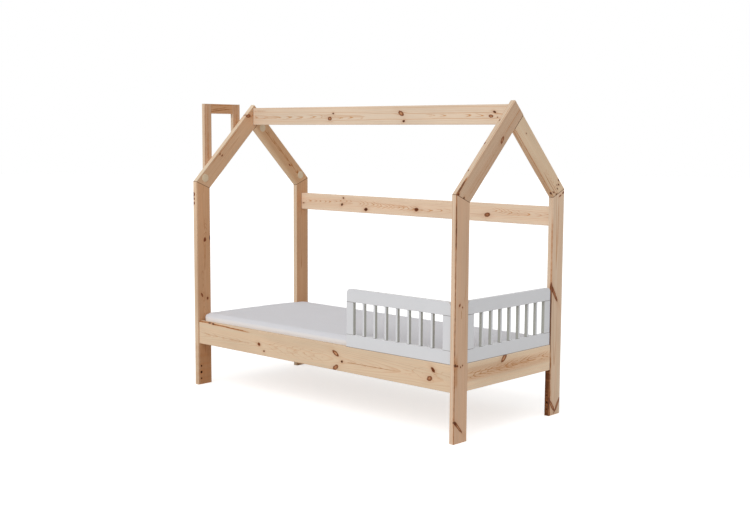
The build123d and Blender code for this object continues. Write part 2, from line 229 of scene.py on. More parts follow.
class Group:
    """Base of the node groups, each named after its class."""

    kind: str = "ShaderNodeTree"
    takes: Mapping[str, str] = {}
    gives: Mapping[str, str] = {}

    def wire(self, w: Wiring, given: Sockets) -> Sockets:
        """Builds the nodes inside the group.

        Args:
            w: wiring of the group.
            given: its inputs, by name.

        Returns:
            Its outputs, by name.
        """
        raise NotImplementedError

    def tree(self) -> bpy.types.NodeTree:
        """Builds the group the first time that it is asked for.

        Returns:
            The group's tree.
        """
        title = type(self).__name__
        found = bpy.data.node_groups.get(title)
        if found:
            return found
        made = bpy.data.node_groups.new(title, self.kind)
        for way, sockets in (("INPUT", self.takes), ("OUTPUT", self.gives)):
            for name, kind in sockets.items():
                made.interface.new_socket(name=name, in_out=way, socket_type=kind)
        w = Wiring(made)
        w.node("NodeGroupOutput", self.wire(w, w.node("NodeGroupInput").outputs))
        return made


class Effect(Group):
    """A shader effect that several finishes share."""

    def place(self, w: Wiring, inputs: Mapping[str, Value]) -> Sockets:
        """Puts the effect into a material and gives its outputs."""
        return w.node("ShaderNodeGroup", inputs, node_tree=self.tree()).outputs


class PineFigure(Effect):
    """Year rings round a pith that lies beside the plank, with fine fibres along it."""

    sizes = floats("Seed", "Slope", "Ring Width", "Waver", "Heart Radius")
    takes = {"Point": VECTOR, "Pith": VECTOR, **sizes}
    gives = floats("Late Wood", "Fibre", "Heart", "Cloud", "Band")
    slow_bends: Stretch = (1.5, 8.0, 8.0)
    quick_bends: Stretch = (11.0, 34.0, 34.0)
    coarse_fibres: Stretch = (9.0, 520.0, 520.0)
    fine_fibres: Stretch = (30.0, 1900.0, 1900.0)
    bands: Stretch = (1.3, 95.0, 95.0)
    clouds: Stretch = (2.4, 13.0, 13.0)
    heart_fray: float = 24.0 * MM

    def shaken(self, w: Wiring, point: Socket, scale: Stretch, amount: Socket) -> Socket:
        """Gives a shift from a cloud of noise that is drawn out along the plank."""
        drift = w.node("ShaderNodeTexNoise", {"Vector": w.vector("MULTIPLY", point, scale), "Scale": 1.0})
        return w.scaled(w.vector("SUBTRACT", drift.outputs["Color"], (0.5, 0.5, 0.5)), amount)

    def wire(self, w: Wiring, given: Sockets) -> Sockets:
        """Builds the rings, fibres and heartwood.

        Args:
            w: wiring of the group.
            given: its inputs.

        Returns:
            Its outputs.
        """
        seeded = w.vector("ADD", given["Point"], w.scaled((1.0, 0.37, 0.71), given["Seed"]))
        slow = self.shaken(w, seeded, self.slow_bends, given["Waver"])
        quick = self.shaken(w, seeded, self.quick_bends, w.math("MULTIPLY", given["Waver"], 0.14))
        bent = w.vector("ADD", given["Point"], w.vector("ADD", slow, quick))
        along, across, depth = w.split(w.vector("SUBTRACT", bent, given["Pith"]))
        sunk = w.math("SUBTRACT", depth, w.math("MULTIPLY", along, given["Slope"]))
        radius = w.reading("LENGTH", w.join(0.0, across, sunk))
        uneven = w.noise(w.join(radius, given["Seed"], 0.0), 70.0, 1.0)
        count = w.math("MULTIPLY_ADD", uneven, 2.2, w.math("DIVIDE", radius, given["Ring Width"]))
        share = w.math("FRACT", count)
        ring = w.math("ADD", w.math("FLOOR", count), given["Seed"])
        strength = w.node("ShaderNodeTexWhiteNoise", {"W": ring}, noise_dimensions="1D").outputs["Value"]
        rise = w.math("MULTIPLY", w.fade(share, 0.58, 0.94), w.less(w.fade(share, 0.96, 1.0)))
        late = w.math("MULTIPLY", rise, w.swing(strength, 0.25, 1.0))
        coarse = w.noise(w.vector("MULTIPLY", seeded, self.coarse_fibres), 1.0, 1.0)
        fine = w.noise(w.vector("MULTIPLY", seeded, self.fine_fibres), 1.0, 1.0)
        fibre = w.math("ADD", w.math("MULTIPLY", coarse, 0.6), w.math("MULTIPLY", fine, 0.4))
        band = w.noise(w.vector("MULTIPLY", seeded, self.bands), 1.0)
        cloud = w.noise(w.vector("MULTIPLY", seeded, self.clouds), 1.0, 3.0)
        edge = w.math("MULTIPLY_ADD", cloud, self.heart_fray, w.math("SUBTRACT", radius, self.heart_fray / 2))
        heart = w.less(w.fade(w.math("SUBTRACT", edge, given["Heart Radius"]), -0.010, 0.012))
        return {"Late Wood": late, "Fibre": fibre, "Heart": heart, "Cloud": cloud, "Band": band}


class BranchKnot(Effect):
    """A knot that the grain flows round. Knots are chained: each adds itself to what came before."""

    gives = {"Point": VECTOR, **floats("Core", "Depth", "Rim", "Halo")}
    takes = {**gives, "Centre": VECTOR, **floats("Wobble", "Radius", "Stretch", "Turn", "Reach", "Dark")}

    def bell(self, w: Wiring, *offsets: Socket) -> Socket:
        """Gives a bell curve that is 1 at the middle."""
        return w.math("EXPONENT", w.math("MULTIPLY", self.squares(w, *offsets), -1.0))

    def squares(self, w: Wiring, *offsets: Socket) -> Socket:
        """Gives the sum of squares.

        Args:
            w: wiring of the group.
            offsets: the numbers.

        Returns:
            The sum of their squares.
        """
        total: Value = 0.0
        for offset in offsets:
            total = w.math("MULTIPLY_ADD", offset, offset, total)
        return total

    def wire(self, w: Wiring, given: Sockets) -> Sockets:
        """Builds the knot's core, dark rim, halo and the bend of the grain.

        Args:
            w: wiring of the group.
            given: its inputs.

        Returns:
            Its outputs.
        """
        away = w.vector("SUBTRACT", given["Point"], given["Centre"])
        turn = {"Vector": away, "Angle": given["Turn"]}
        turned = w.out("ShaderNodeVectorRotate", turn, rotation_type="Z_AXIS", invert=True)
        u, v, t = w.split(turned)
        wide = w.math("DIVIDE", u, w.math("MULTIPLY", given["Radius"], given["Stretch"]))
        high = w.math("DIVIDE", v, given["Radius"])
        deep = w.math("DIVIDE", t, given["Reach"])
        rough = w.swing(given["Wobble"], -0.3, 0.3)
        reach = w.math("ADD", w.math("SQRT", self.squares(w, wide, high, deep)), rough)
        core = w.less(w.fade(reach, 0.92, 1.14))
        rings = w.swing(w.math("SINE", w.math("MULTIPLY", reach, 13.0)), 0.92, 1.0)
        rim = w.math("MULTIPLY", w.fade(reach, 0.38, 0.80), w.less(w.fade(reach, 1.00, 1.28)))
        halo = self.bell(w, w.math("MULTIPLY", wide, 0.42), w.math("MULTIPLY", high, 0.5), deep)
        bulge = self.bell(w, w.math("MULTIPLY", wide, 0.55), w.math("MULTIPLY", high, 0.5), deep)
        back = {"Vector": w.join(0.0, w.product(v, bulge, 0.75), 0.0), "Angle": given["Turn"]}
        shift = w.out("ShaderNodeVectorRotate", back, rotation_type="Z_AXIS")
        masks = {
            "Core": core,
            "Depth": w.product(core, rings, given["Dark"]),
            "Rim": w.math("MULTIPLY", rim, w.swing(given["Dark"], 0.95, 0.5)),
            "Halo": w.math("MULTIPLY", halo, w.swing(given["Dark"], 0.3, 0.8)),
        }
        joined = {name: w.math("MAXIMUM", given[name], mask) for name, mask in masks.items()}
        return {"Point": w.vector("SUBTRACT", given["Point"], shift), **joined}


class GrainFlame(Effect):
    """A row of pointed grain tips along a plank whose face lies flat on the rings. Rows are chained."""

    sizes = floats("Start", "End", "Across", "Drift", "Half Width", "Pitch", "Tip", "Strength")
    takes = {"Point": VECTOR, "Mask": FLOAT, **sizes}
    gives = floats("Mask")
    jags: Stretch = (24.0, 80.0, 80.0)
    stray: float = 8.0 * MM
    tip_radius: float = 3.0 * MM

    def wire(self, w: Wiring, given: Sockets) -> Sockets:
        """Builds the tips, broken up along their row.

        Args:
            w: wiring of the group.
            given: its inputs.

        Returns:
            Its outputs.
        """
        along, across, _ = w.split(given["Point"])
        share = w.ramp(along, given["Start"], given["End"])
        wander = w.noise(w.join(along, given["Start"], 0.0), 9.0, 1.0)
        middle = w.math("MULTIPLY_ADD", share, given["Drift"], given["Across"])
        away = w.math("SUBTRACT", across, w.math("ADD", middle, w.swing(wander, -self.stray, self.stray)))
        off = w.math("SQRT", w.math("MULTIPLY_ADD", away, away, self.tip_radius**2))
        jag = w.noise(w.vector("MULTIPLY", given["Point"], self.jags), 1.0)
        count = w.math("DIVIDE", w.math("MULTIPLY_ADD", off, given["Tip"], along), given["Pitch"])
        step = w.math("FRACT", w.math("MULTIPLY_ADD", jag, 1.1, count))
        gap = w.math("MULTIPLY", w.math("ABSOLUTE", w.math("SUBTRACT", step, 0.5)), given["Pitch"])
        line = w.less(w.fade(gap, 0.0, w.math("MULTIPLY", w.math("ABSOLUTE", given["Tip"]), 2.0 * MM)))
        near = w.less(w.fade(off, w.math("MULTIPLY", given["Half Width"], 0.4), given["Half Width"]))
        ends = w.math("MULTIPLY", w.fade(share, 0.0, 0.08), w.less(w.fade(share, 0.92, 1.0)))
        broken = w.fade(w.noise(w.join(along, given["End"], 0.0), 22.0), 0.28, 0.50)
        mask = w.product(line, near, ends, broken, given["Strength"])
        return {"Mask": w.math("MAXIMUM", given["Mask"], mask)}


class ResinAndShadowStreak(Effect):
    """A dark red line along the grain: resin lines, and also painted shadow in gaps and along corners. Streaks
    are chained as knots are.
    """

    sizes = floats("Start", "End", "Across", "Drift", "Width", "Level", "Reach", "Strength")
    takes = {"Point": VECTOR, "Mask": FLOAT, **sizes}
    gives = floats("Mask")

    def wire(self, w: Wiring, given: Sockets) -> Sockets:
        """Builds the line, thin at its ends.

        Args:
            w: wiring of the group.
            given: its inputs.

        Returns:
            Its outputs.
        """
        along, across, level = w.split(given["Point"])
        share = w.ramp(along, given["Start"], given["End"])
        wander = w.noise(w.join(along, given["Across"], 0.0), 17.0)
        middle = w.math("MULTIPLY_ADD", share, given["Drift"], given["Across"])
        middle = w.math("ADD", middle, w.math("MULTIPLY", w.swing(wander, -0.5, 0.5), given["Width"]))
        off = w.math("DIVIDE", w.math("SUBTRACT", across, middle), given["Width"])
        deep = w.math("DIVIDE", w.math("SUBTRACT", level, given["Level"]), given["Reach"])
        gap = w.math("SQRT", w.math("MULTIPLY_ADD", deep, deep, w.math("MULTIPLY", off, off)))
        ends = w.math("MULTIPLY", w.fade(share, 0.0, 0.2), w.less(w.fade(share, 0.7, 1.0)))
        broken = w.swing(w.noise(w.join(along, given["Start"], 0.0), 55.0), 0.35, 1.35)
        mask = w.product(w.less(w.fade(gap, 0.4, 1.0)), ends, broken, given["Strength"])
        return {"Mask": w.math("MAXIMUM", given["Mask"], mask)}


class EdgeEase(Effect):
    """Mask of the eased arrises of a plank, from how near a point is to a second face. Pine uses it for a
    painted highlight.
    """

    takes = {"Point": VECTOR, "Half Size": VECTOR, "Width": FLOAT}
    gives = {"Edge": FLOAT}

    def wire(self, w: Wiring, given: Sockets) -> Sockets:
        """Builds the mask from the middle one of the three gaps to the faces.

        Args:
            w: wiring of the group.
            given: its inputs.

        Returns:
            Its outputs.
        """
        x, y, z = w.split(w.vector("SUBTRACT", given["Half Size"], w.vector("ABSOLUTE", given["Point"])))
        least = w.math("MINIMUM", w.math("MINIMUM", x, y), z)
        most = w.math("MAXIMUM", w.math("MAXIMUM", x, y), z)
        total = w.math("ADD", w.math("ADD", x, y), z)
        middle = w.math("SUBTRACT", w.math("SUBTRACT", total, least), most)
        return {"Edge": w.less(w.fade(middle, 0.0, given["Width"]))}


class JointShade(Effect):
    """Hairline shadow where a piece meets its neighbour. Joints are chained as knots are."""

    takes = {"Point": VECTOR, "Spot": VECTOR, "Way": VECTOR, "Width": FLOAT, "Shade": FLOAT}
    gives = {"Shade": FLOAT}

    def wire(self, w: Wiring, given: Sockets) -> Sockets:
        """Builds the shadow from the distance to the joint's plane.

        Args:
            w: wiring of the group.
            given: its inputs.

        Returns:
            Its outputs.
        """
        away = w.vector("SUBTRACT", given["Point"], given["Spot"])
        gap = w.reading("DOT_PRODUCT", away, given["Way"])
        share = w.fade(w.math("ABSOLUTE", gap), w.math("MULTIPLY", given["Width"], 0.4), given["Width"])
        return {"Shade": w.math("MAXIMUM", given["Shade"], w.less(share))}


class FabricWeave(Effect):
    """Crossing threads on the three faces of a cloth piece, blended by the way that the cloth faces."""

    takes = {"Point": VECTOR, "Facing": VECTOR, "Pitch": FLOAT}
    gives = {"Height": FLOAT, "Slub": FLOAT}
    slubs: Stretch = (60.0, 420.0, 420.0)

    def threads(self, w: Wiring, first: Socket, second: Socket) -> Socket:
        """Gives the height of threads that cross along two directions."""
        return w.swing(w.math("MULTIPLY", w.math("SINE", first), w.math("SINE", second)), 0.5, 1.0)

    def wire(self, w: Wiring, given: Sockets) -> Sockets:
        """Builds the threads and the thick places in them.

        Args:
            w: wiring of the group.
            given: its inputs.

        Returns:
            Its outputs.
        """
        turns = w.scaled(given["Point"], w.math("DIVIDE", math.tau, given["Pitch"]))
        x, y, z = w.split(turns)
        squares = w.vector("MULTIPLY", given["Facing"], given["Facing"])
        ends, sides, top = w.split(squares)
        height = w.math("MULTIPLY", ends, self.threads(w, y, z))
        height = w.math("MULTIPLY_ADD", sides, self.threads(w, x, z), height)
        height = w.math("MULTIPLY_ADD", top, self.threads(w, x, y), height)
        slub = w.noise(w.vector("MULTIPLY", given["Point"], self.slubs), 1.0)
        return {"Height": height, "Slub": slub}


class SurfaceMottle(Effect):
    """Slow and fine unevenness of a coated or worked surface."""

    takes = {"Point": VECTOR, "Fine Scale": FLOAT}
    gives = {"Slow": FLOAT, "Fine": FLOAT}
    slow_scale: float = 14.0

    def wire(self, w: Wiring, given: Sockets) -> Sockets:
        """Builds the two noises.

        Args:
            w: wiring of the group.
            given: its inputs.

        Returns:
            Its outputs.
        """
        slow = w.noise(given["Point"], self.slow_scale, 3.0)
        fine = w.noise(given["Point"], given["Fine Scale"])
        return {"Slow": slow, "Fine": fine}


class Finish:
    """Base of the finishes: a material with one Principled shader."""

    title: str

    def begin(self, **constants: object) -> tuple[Material, Wiring, Node]:
        """Starts a material.

        Args:
            constants: shader inputs that are the same all over, with _ for a space in the name.

        Returns:
            The material, the wiring of its tree and its shader.
        """
        made = bpy.data.materials.new(self.title)
        made.use_nodes = True
        made.node_tree.nodes.clear()
        w = Wiring(made.node_tree)
        inputs = {name.replace("_", " "): value for name, value in constants.items()}
        shader = w.node("ShaderNodeBsdfPrincipled", inputs)
        w.node("ShaderNodeOutputMaterial", {"Surface": shader.outputs[0]})
        return made, w, shader

    def object_point(self, w: Wiring) -> Socket:
        """Gives the point on the piece in the bed's own frame."""
        return w.node("ShaderNodeTexCoord").outputs["Object"]

    def relief(self, w: Wiring, shader: Node, height: Socket, strength: float, depth: float) -> None:
        """Joins a height to the shader's normal through a bump."""
        bump = w.node("ShaderNodeBump", {"Strength": strength, "Distance": depth, "Height": height})
        w.feed(shader.inputs["Normal"], bump.outputs[0])


@dataclass(frozen=True)
class Knot:
    """A branch knot, in millimetres and degrees, measured from the middle of its plank.

    It is sound and tan with a dark rim, or dead and black, as dark goes from 0 to 1. It goes through the
    plank unless its reach through the thickness is short. Its level is then where its middle lies, from -1 at
    one wide face to 1 at the other.
    """

    along: float
    across: float
    radius: float
    stretch: float = 1.2
    turn: float = 0.0
    dark: float = 0.75
    level: float = 0.0
    reach: float = 60.0


@dataclass(frozen=True)
class Flame:
    """A row of pointed grain tips, in millimetres from the middle of its plank.

    Drift is how far the row strays across. The tips are as long as tip times their width, and point to the
    far end, or back where tip is negative.
    """

    start: float
    end: float
    across: float
    drift: float = 0.0
    half_width: float = 13.0
    pitch: float = 17.0
    tip: float = 2.4
    strength: float = 0.6


@dataclass(frozen=True)
class Streak:
    """A dark line along the grain, in millimetres from the middle of its plank: mostly a resin line, and on
    some planks painted shadow in a gap or along a corner.

    It goes through the plank unless its reach is short, and then it lies at a level as a knot does.
    """

    start: float
    end: float
    across: float
    width: float = 1.6
    strength: float = 0.6
    drift: float = 0.0
    level: float = 0.0
    reach: float = 60.0


@dataclass(frozen=True)
class Figure:
    """How a plank was cut from its log, in millimetres: where the pith lies and how its rings run.

    Late is how strong the rings show. The tone is a gain on its red, green and blue, and lean is how much
    that gain changes for each metre along the plank. The sapwood edge is the far narrow face at 1, the near
    one at -1.
    """

    seed: float
    pith: tuple[float, float] = (0.0, 45.0)
    slope: float = 0.012
    ring: float = 3.4
    waver: float = 9.0
    heart: float = 0.0
    heart_share: float = 1.0
    tone: Colour = WHITE
    lean: float = 0.0
    late: float = 0.7
    sap_edge: float = 0.0


@dataclass(frozen=True)
class JointLine:
    """End of a plank that meets another: 1 for the far end, -1 for the near one, and a mitre's long side."""

    end: int
    long_side: int = 0


@dataclass(frozen=True)
class PinePalette:
    """Colours of oiled pine: sapwood, heartwood, their late wood, knots and joints, with a painted highlight
    for the edges and a dark streak colour that also paints shadow.
    """

    sap: Colour = (0.800, 0.613, 0.438)
    sap_late: Colour = (0.590, 0.270, 0.095)
    heart: Colour = (0.640, 0.375, 0.212)
    heart_late: Colour = (0.390, 0.145, 0.052)
    sound_knot: Colour = (0.580, 0.290, 0.150)
    red_knot: Colour = (0.250, 0.066, 0.022)
    dark_knot: Colour = (0.066, 0.022, 0.007)
    rim: Colour = (0.190, 0.052, 0.017)
    halo: Colour = (0.540, 0.220, 0.080)
    amber: Colour = (0.520, 0.215, 0.078)
    # dark streak colour, also used as painted shadow in gaps and along corners
    streak: Colour = (0.150, 0.052, 0.019)
    red_band: Colour = (1.040, 0.970, 0.920)
    yellow_band: Colour = (0.970, 1.020, 1.050)
    # painted highlight on the eased edges
    arris: Colour = (0.880, 0.720, 0.550)
    joint: Colour = (0.140, 0.050, 0.020)


@dataclass(frozen=True)
class PineFinish(Finish):
    """Oiled pine of one plank, with its own figure and knots, and a painted highlight along its arrises."""

    title: str
    grain: Grain
    centre: Vector
    half_size: Vector
    figure: Figure
    knots: Sequence[Knot] = ()
    joints: Sequence[JointLine] = ()
    flames: Sequence[Flame] = ()
    streaks: Sequence[Streak] = ()
    palette: PinePalette = PinePalette()
    arris_width: float = 3.0 * MM
    joint_width: float = 2.0 * MM
    rind_depths: tuple[float, float] = (3.0 * MM, 1.0 * MM)
    mitre: float = 22.5

    def knotted(self, w: Wiring, point: Socket) -> dict[str, Value]:
        """Chains the plank's knots.

        Args:
            w: wiring of the material.
            point: point in the plank.

        Returns:
            The point that the grain is read at, and the masks of the knots' cores, depths, rims and halos.
        """
        state: dict[str, Value] = {"Point": point, "Core": 0.0, "Depth": 0.0, "Rim": 0.0, "Halo": 0.0}
        if self.knots:
            wobble = w.noise(point, 190.0, 1.0)
        for knot in self.knots:
            own = {
                "Wobble": wobble,
                "Centre": (knot.along * MM, knot.across * MM, knot.level * self.half_size.z),
                "Radius": knot.radius * MM,
                "Stretch": knot.stretch,
                "Turn": math.radians(knot.turn),
                "Reach": knot.reach * MM,
                "Dark": knot.dark,
            }
            placed = BranchKnot().place(w, {**state, **own})
            state = {name: placed[name] for name in state}
        return state

    def chained(self, w: Wiring, effect: Effect, marks: Sequence[Flame | Streak], point: Socket) -> Value:
        """Chains rows of grain tips, or dark lines along the grain.

        Args:
            w: wiring of the material.
            effect: effect that draws one mark.
            marks: the marks, in millimetres.
            point: point in the plank.

        Returns:
            The mask of them all.
        """
        mask: Value = 0.0
        units = {"tip": 1.0, "strength": 1.0, "level": self.half_size.z}
        for mark in marks:
            inputs = {"Point": point, "Mask": mask}
            for name, size in asdict(mark).items():
                inputs[name.replace("_", " ").title()] = size * units.get(name, MM)
            mask = effect.place(w, inputs)["Mask"]
        return mask

    def jointed(self, w: Wiring, point: Socket) -> Value:
        """Chains the hairlines at the plank's joints.

        Args:
            w: wiring of the material.
            point: point in the plank.

        Returns:
            The mask of them all.
        """
        shade: Value = 0.0
        for joint in self.joints:
            turn = math.radians(-self.mitre * joint.end * joint.long_side)
            inputs = {
                "Point": point,
                "Spot": (joint.end * self.half_size.x, joint.long_side * self.half_size.y, 0.0),
                "Way": (math.cos(turn), math.sin(turn), 0.0),
                "Width": self.joint_width,
                "Shade": shade,
            }
            shade = JointShade().place(w, inputs)["Shade"]
        return shade

    def material(self) -> Material:
        """Builds the plank's material.

        Returns:
            The new material.
        """
        made, w, shader = self.begin(IOR=1.46, Specular_IOR_Level=0.06)
        place = {"Vector": self.object_point(w), "Location": self.centre}
        place["Rotation"] = self.grain.axes().to_euler()
        point = w.out("ShaderNodeMapping", place, vector_type="TEXTURE")
        knots = self.knotted(w, point)
        cut = self.figure
        inputs = {
            "Point": knots["Point"],
            "Seed": cut.seed,
            "Pith": (0.0, cut.pith[0] * MM, cut.pith[1] * MM),
            "Slope": cut.slope,
            "Ring Width": cut.ring * MM,
            "Waver": cut.waver * MM,
            "Heart Radius": cut.heart * MM,
        }
        figure = PineFigure().place(w, inputs)
        eased = {"Point": point, "Half Size": self.half_size, "Width": self.arris_width}
        edge = EdgeEase().place(w, eased)["Edge"]
        tint = self.palette
        outwards = w.math("MULTIPLY", w.split(point)[1], cut.sap_edge)
        rind = w.fade(outwards, *(self.half_size.y - depth for depth in self.rind_depths))
        heart = w.product(figure["Heart"], cut.heart_share, w.less(rind))
        early = w.mix(heart, rgba(tint.sap), rgba(tint.heart))
        late = w.mix(heart, rgba(tint.sap_late), rgba(tint.heart_late))
        tips = self.chained(w, GrainFlame(), self.flames, knots["Point"])
        rings = w.math("MAXIMUM", w.math("MULTIPLY", figure["Late Wood"], cut.late), tips)
        wood = w.mix(rings, early, late)
        wood = w.vector("MULTIPLY", wood, w.mix(figure["Band"], rgba(tint.red_band), rgba(tint.yellow_band)))
        lean = w.math("MULTIPLY_ADD", w.split(point)[0], cut.lean, 1.0)
        gain = w.product(w.swing(figure["Cloud"], 0.87, 1.13), w.swing(figure["Fibre"], 0.86, 1.14), lean)
        wood = w.scaled(w.vector("MULTIPLY", wood, cut.tone), gain)
        # streaks: resin lines, and on some planks painted shadow in a gap or along a corner
        lines = self.chained(w, ResinAndShadowStreak(), self.streaks, point)
        wood = w.mix(w.fade(lines, 0.0, 0.55), wood, rgba(tint.amber))
        wood = w.mix(w.fade(lines, 0.3, 1.0), wood, rgba(tint.streak))
        wood = w.mix(w.math("MULTIPLY", knots["Halo"], 0.6), wood, rgba(tint.halo))
        branch = w.mix(w.fade(knots["Depth"], 0.1, 0.45), rgba(tint.sound_knot), rgba(tint.red_knot))
        branch = w.mix(w.fade(knots["Depth"], 0.45, 0.8), branch, rgba(tint.dark_knot))
        wood = w.mix(knots["Core"], wood, branch)
        wood = w.mix(knots["Rim"], wood, rgba(tint.rim))
        # painted highlight along the eased arrises
        wood = w.mix(w.math("MULTIPLY", edge, 0.16), wood, rgba(tint.arris))
        wood = w.mix(w.math("MULTIPLY", self.jointed(w, point), 0.85), wood, rgba(tint.joint))
        w.feed(shader.inputs["Base Color"], wood)
        w.feed(shader.inputs["Roughness"], w.swing(figure["Fibre"], 0.45, 0.65))
        relief = w.math("MULTIPLY_ADD", figure["Late Wood"], 0.5, figure["Fibre"])
        self.relief(w, shader, w.math("MULTIPLY_ADD", knots["Rim"], -0.2, relief), 0.3, 0.35 * MM)
        return made


@dataclass(frozen=True)
class PaintFinish(Finish):
    """White satin paint, rolled on, with painted shade on the sides that face the gaps between uprights."""

    title: str
    joint_heights: Sequence[float] = ()
    gap_way: Colour = (0.0, 0.0, 0.0)
    # colour of the painted shade on the sides that face the gaps
    gap_tint: Colour = (0.470, 0.470, 0.425)
    joint_width: float = 2.2 * MM
    brushing: Stretch = (60.0, 60.0, 700.0)
    tint: Colour = (0.765, 0.767, 0.785)
    shade: Colour = (0.720, 0.723, 0.740)
    joint: Colour = (0.130, 0.100, 0.075)

    def material(self) -> Material:
        """Builds the paint, with hairlines at the heights where it meets the next piece, and painted shade on
        the sides that face the gaps.

        Returns:
            The new material.
        """
        made, w, shader = self.begin(IOR=1.48)
        point = self.object_point(w)
        mottle = SurfaceMottle().place(w, {"Point": point, "Fine Scale": 420.0})
        grain = w.noise(w.vector("MULTIPLY", point, self.brushing), 1.0)
        coat = w.mix(mottle["Slow"], rgba(self.tint), rgba(self.shade))
        # painted shade: the sides of the uprights that face the gaps between them are darkened
        facing = w.node("ShaderNodeTexCoord").outputs["Normal"]
        turned = w.reading("DOT_PRODUCT", facing, self.gap_way)
        coat = w.mix(w.fade(w.math("ABSOLUTE", turned), 0.6, 0.95), coat, rgba(self.gap_tint))
        shade: Value = 0.0
        for height in self.joint_heights:
            line = {"Point": point, "Spot": (0.0, 0.0, height), "Way": (0.0, 0.0, 1.0)}
            shade = JointShade().place(w, {**line, "Width": self.joint_width, "Shade": shade})["Shade"]
        w.feed(shader.inputs["Base Color"], w.mix(w.math("MULTIPLY", shade, 0.7), coat, rgba(self.joint)))
        w.feed(shader.inputs["Roughness"], w.swing(mottle["Fine"], 0.34, 0.52))
        height = w.math("MULTIPLY_ADD", grain, 0.5, mottle["Fine"])
        self.relief(w, shader, height, 0.18, 0.25 * MM)
        return made


@dataclass(frozen=True)
class CapFinish(Finish):
    """Cream plastic of the cover caps, finely grained."""

    title: str = "cap_plastic"
    tint: Colour = (0.730, 0.580, 0.400)
    shade: Colour = (0.680, 0.525, 0.345)

    def material(self) -> Material:
        """Builds the plastic.

        Returns:
            The new material.
        """
        made, w, shader = self.begin(IOR=1.49)
        mottle = SurfaceMottle().place(w, {"Point": self.object_point(w), "Fine Scale": 1600.0})
        w.feed(shader.inputs["Base Color"], w.mix(mottle["Slow"], rgba(self.tint), rgba(self.shade)))
        w.feed(shader.inputs["Roughness"], w.swing(mottle["Fine"], 0.36, 0.56))
        self.relief(w, shader, mottle["Fine"], 0.2, 0.1 * MM)
        return made


@dataclass(frozen=True)
class SteelFinish(Finish):
    """Zinc-plated steel of bolts, nuts, screws and staples."""

    title: str = "zinc_steel"
    tint: Colour = (0.680, 0.690, 0.700)
    shade: Colour = (0.520, 0.525, 0.530)

    def material(self) -> Material:
        """Builds the plating.

        Returns:
            The new material.
        """
        made, w, shader = self.begin(Metallic=1.0)
        mottle = SurfaceMottle().place(w, {"Point": self.object_point(w), "Fine Scale": 900.0})
        w.feed(shader.inputs["Base Color"], w.mix(mottle["Fine"], rgba(self.tint), rgba(self.shade)))
        w.feed(shader.inputs["Roughness"], w.swing(mottle["Slow"], 0.26, 0.46))
        self.relief(w, shader, mottle["Fine"], 0.15, 0.05 * MM)
        return made


@dataclass(frozen=True)
class BeechFinish(Finish):
    """Turned beech of the dowels, with short dark flecks."""

    title: str = "dowel_beech"
    tint: Colour = (0.640, 0.430, 0.270)
    fleck: Colour = (0.450, 0.265, 0.145)

    def material(self) -> Material:
        """Builds the beech.

        Returns:
            The new material.
        """
        made, w, shader = self.begin(IOR=1.46)
        point = self.object_point(w)
        mottle = SurfaceMottle().place(w, {"Point": point, "Fine Scale": 700.0})
        flecks = w.fade(mottle["Fine"], 0.52, 0.68)
        w.feed(shader.inputs["Base Color"], w.mix(flecks, rgba(self.tint), rgba(self.fleck)))
        w.feed(shader.inputs["Roughness"], w.swing(mottle["Slow"], 0.5, 0.7))
        self.relief(w, shader, mottle["Fine"], 0.2, 0.2 * MM)
        return made


@dataclass(frozen=True)
class WovenFinish(Finish):
    """Woven or knitted cloth, for the mattress cover, its thread and the webbing. Side is a gain on the colour
    of the sides, painted light that makes them lighter than the top.
    """

    title: str
    tint: Colour
    shade: Colour
    pitch: float
    depth: float
    # gain on the sides' colour: painted light, lighter than the top
    side: Colour = WHITE
    sheen: float = 0.15

    def material(self) -> Material:
        """Builds the cloth.

        Returns:
            The new material.
        """
        made, w, shader = self.begin(IOR=1.4, Sheen_Weight=self.sheen, Sheen_Roughness=0.6)
        point = self.object_point(w)
        facing = w.node("ShaderNodeNewGeometry").outputs["Normal"]
        weave = FabricWeave().place(w, {"Point": point, "Facing": facing, "Pitch": self.pitch})
        mottle = SurfaceMottle().place(w, {"Point": point, "Fine Scale": 160.0})
        low = w.math("MULTIPLY", w.less(weave["Height"]), 0.6)
        shade = w.math("MULTIPLY_ADD", mottle["Slow"], 0.25, low)
        shade = w.math("MULTIPLY_ADD", weave["Slub"], 0.2, shade)
        cloth = w.mix(shade, rgba(self.tint), rgba(self.shade))
        # painted light: the sides get a lighter, warmer colour than the top
        upward = w.fade(w.math("ABSOLUTE", w.split(facing)[2]), 0.05, 0.5)
        cloth = w.vector("MULTIPLY", cloth, w.mix(upward, rgba(self.side), rgba(WHITE)))
        w.feed(shader.inputs["Base Color"], cloth)
        w.feed(shader.inputs["Roughness"], w.swing(weave["Slub"], 0.78, 0.94))
        height = w.math("MULTIPLY_ADD", mottle["Fine"], 0.35, weave["Height"])
        self.relief(w, shader, height, 0.35, self.depth)
        return made


# the cover's sides carry painted light, lighter and warmer than its top
COVER = WovenFinish(
    "cover_knit", (0.805, 0.805, 0.840), (0.705, 0.705, 0.742), 2.4 * MM, 0.4 * MM, side=(1.17, 1.14, 1.08)
)
THREAD = WovenFinish("cover_thread", (0.780, 0.780, 0.790), (0.620, 0.620, 0.640), 1.0 * MM, 0.2 * MM)
WEBBING = WovenFinish("strap_webbing", (0.780, 0.770, 0.740), (0.560, 0.550, 0.520), 1.6 * MM, 0.5 * MM)


def dress(node: str, material: Material) -> None:
    """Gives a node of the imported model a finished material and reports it.

    Args:
        node: name of the node.
        material: its finish.
    """
    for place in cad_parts[node].material_slots:
        place.material = material
    log.info("dressed %s with %s", node, material.name)


def add_object(title: str, data: bpy.types.ID) -> Object:
    """Puts a mesh, lamp or camera into the scene as an object at the origin.

    Args:
        title: name of the object.
        data: what it shows.

    Returns:
        The new object.
    """
    made = bpy.data.objects.new(title, data)
    bpy.context.scene.collection.objects.link(made)
    return made


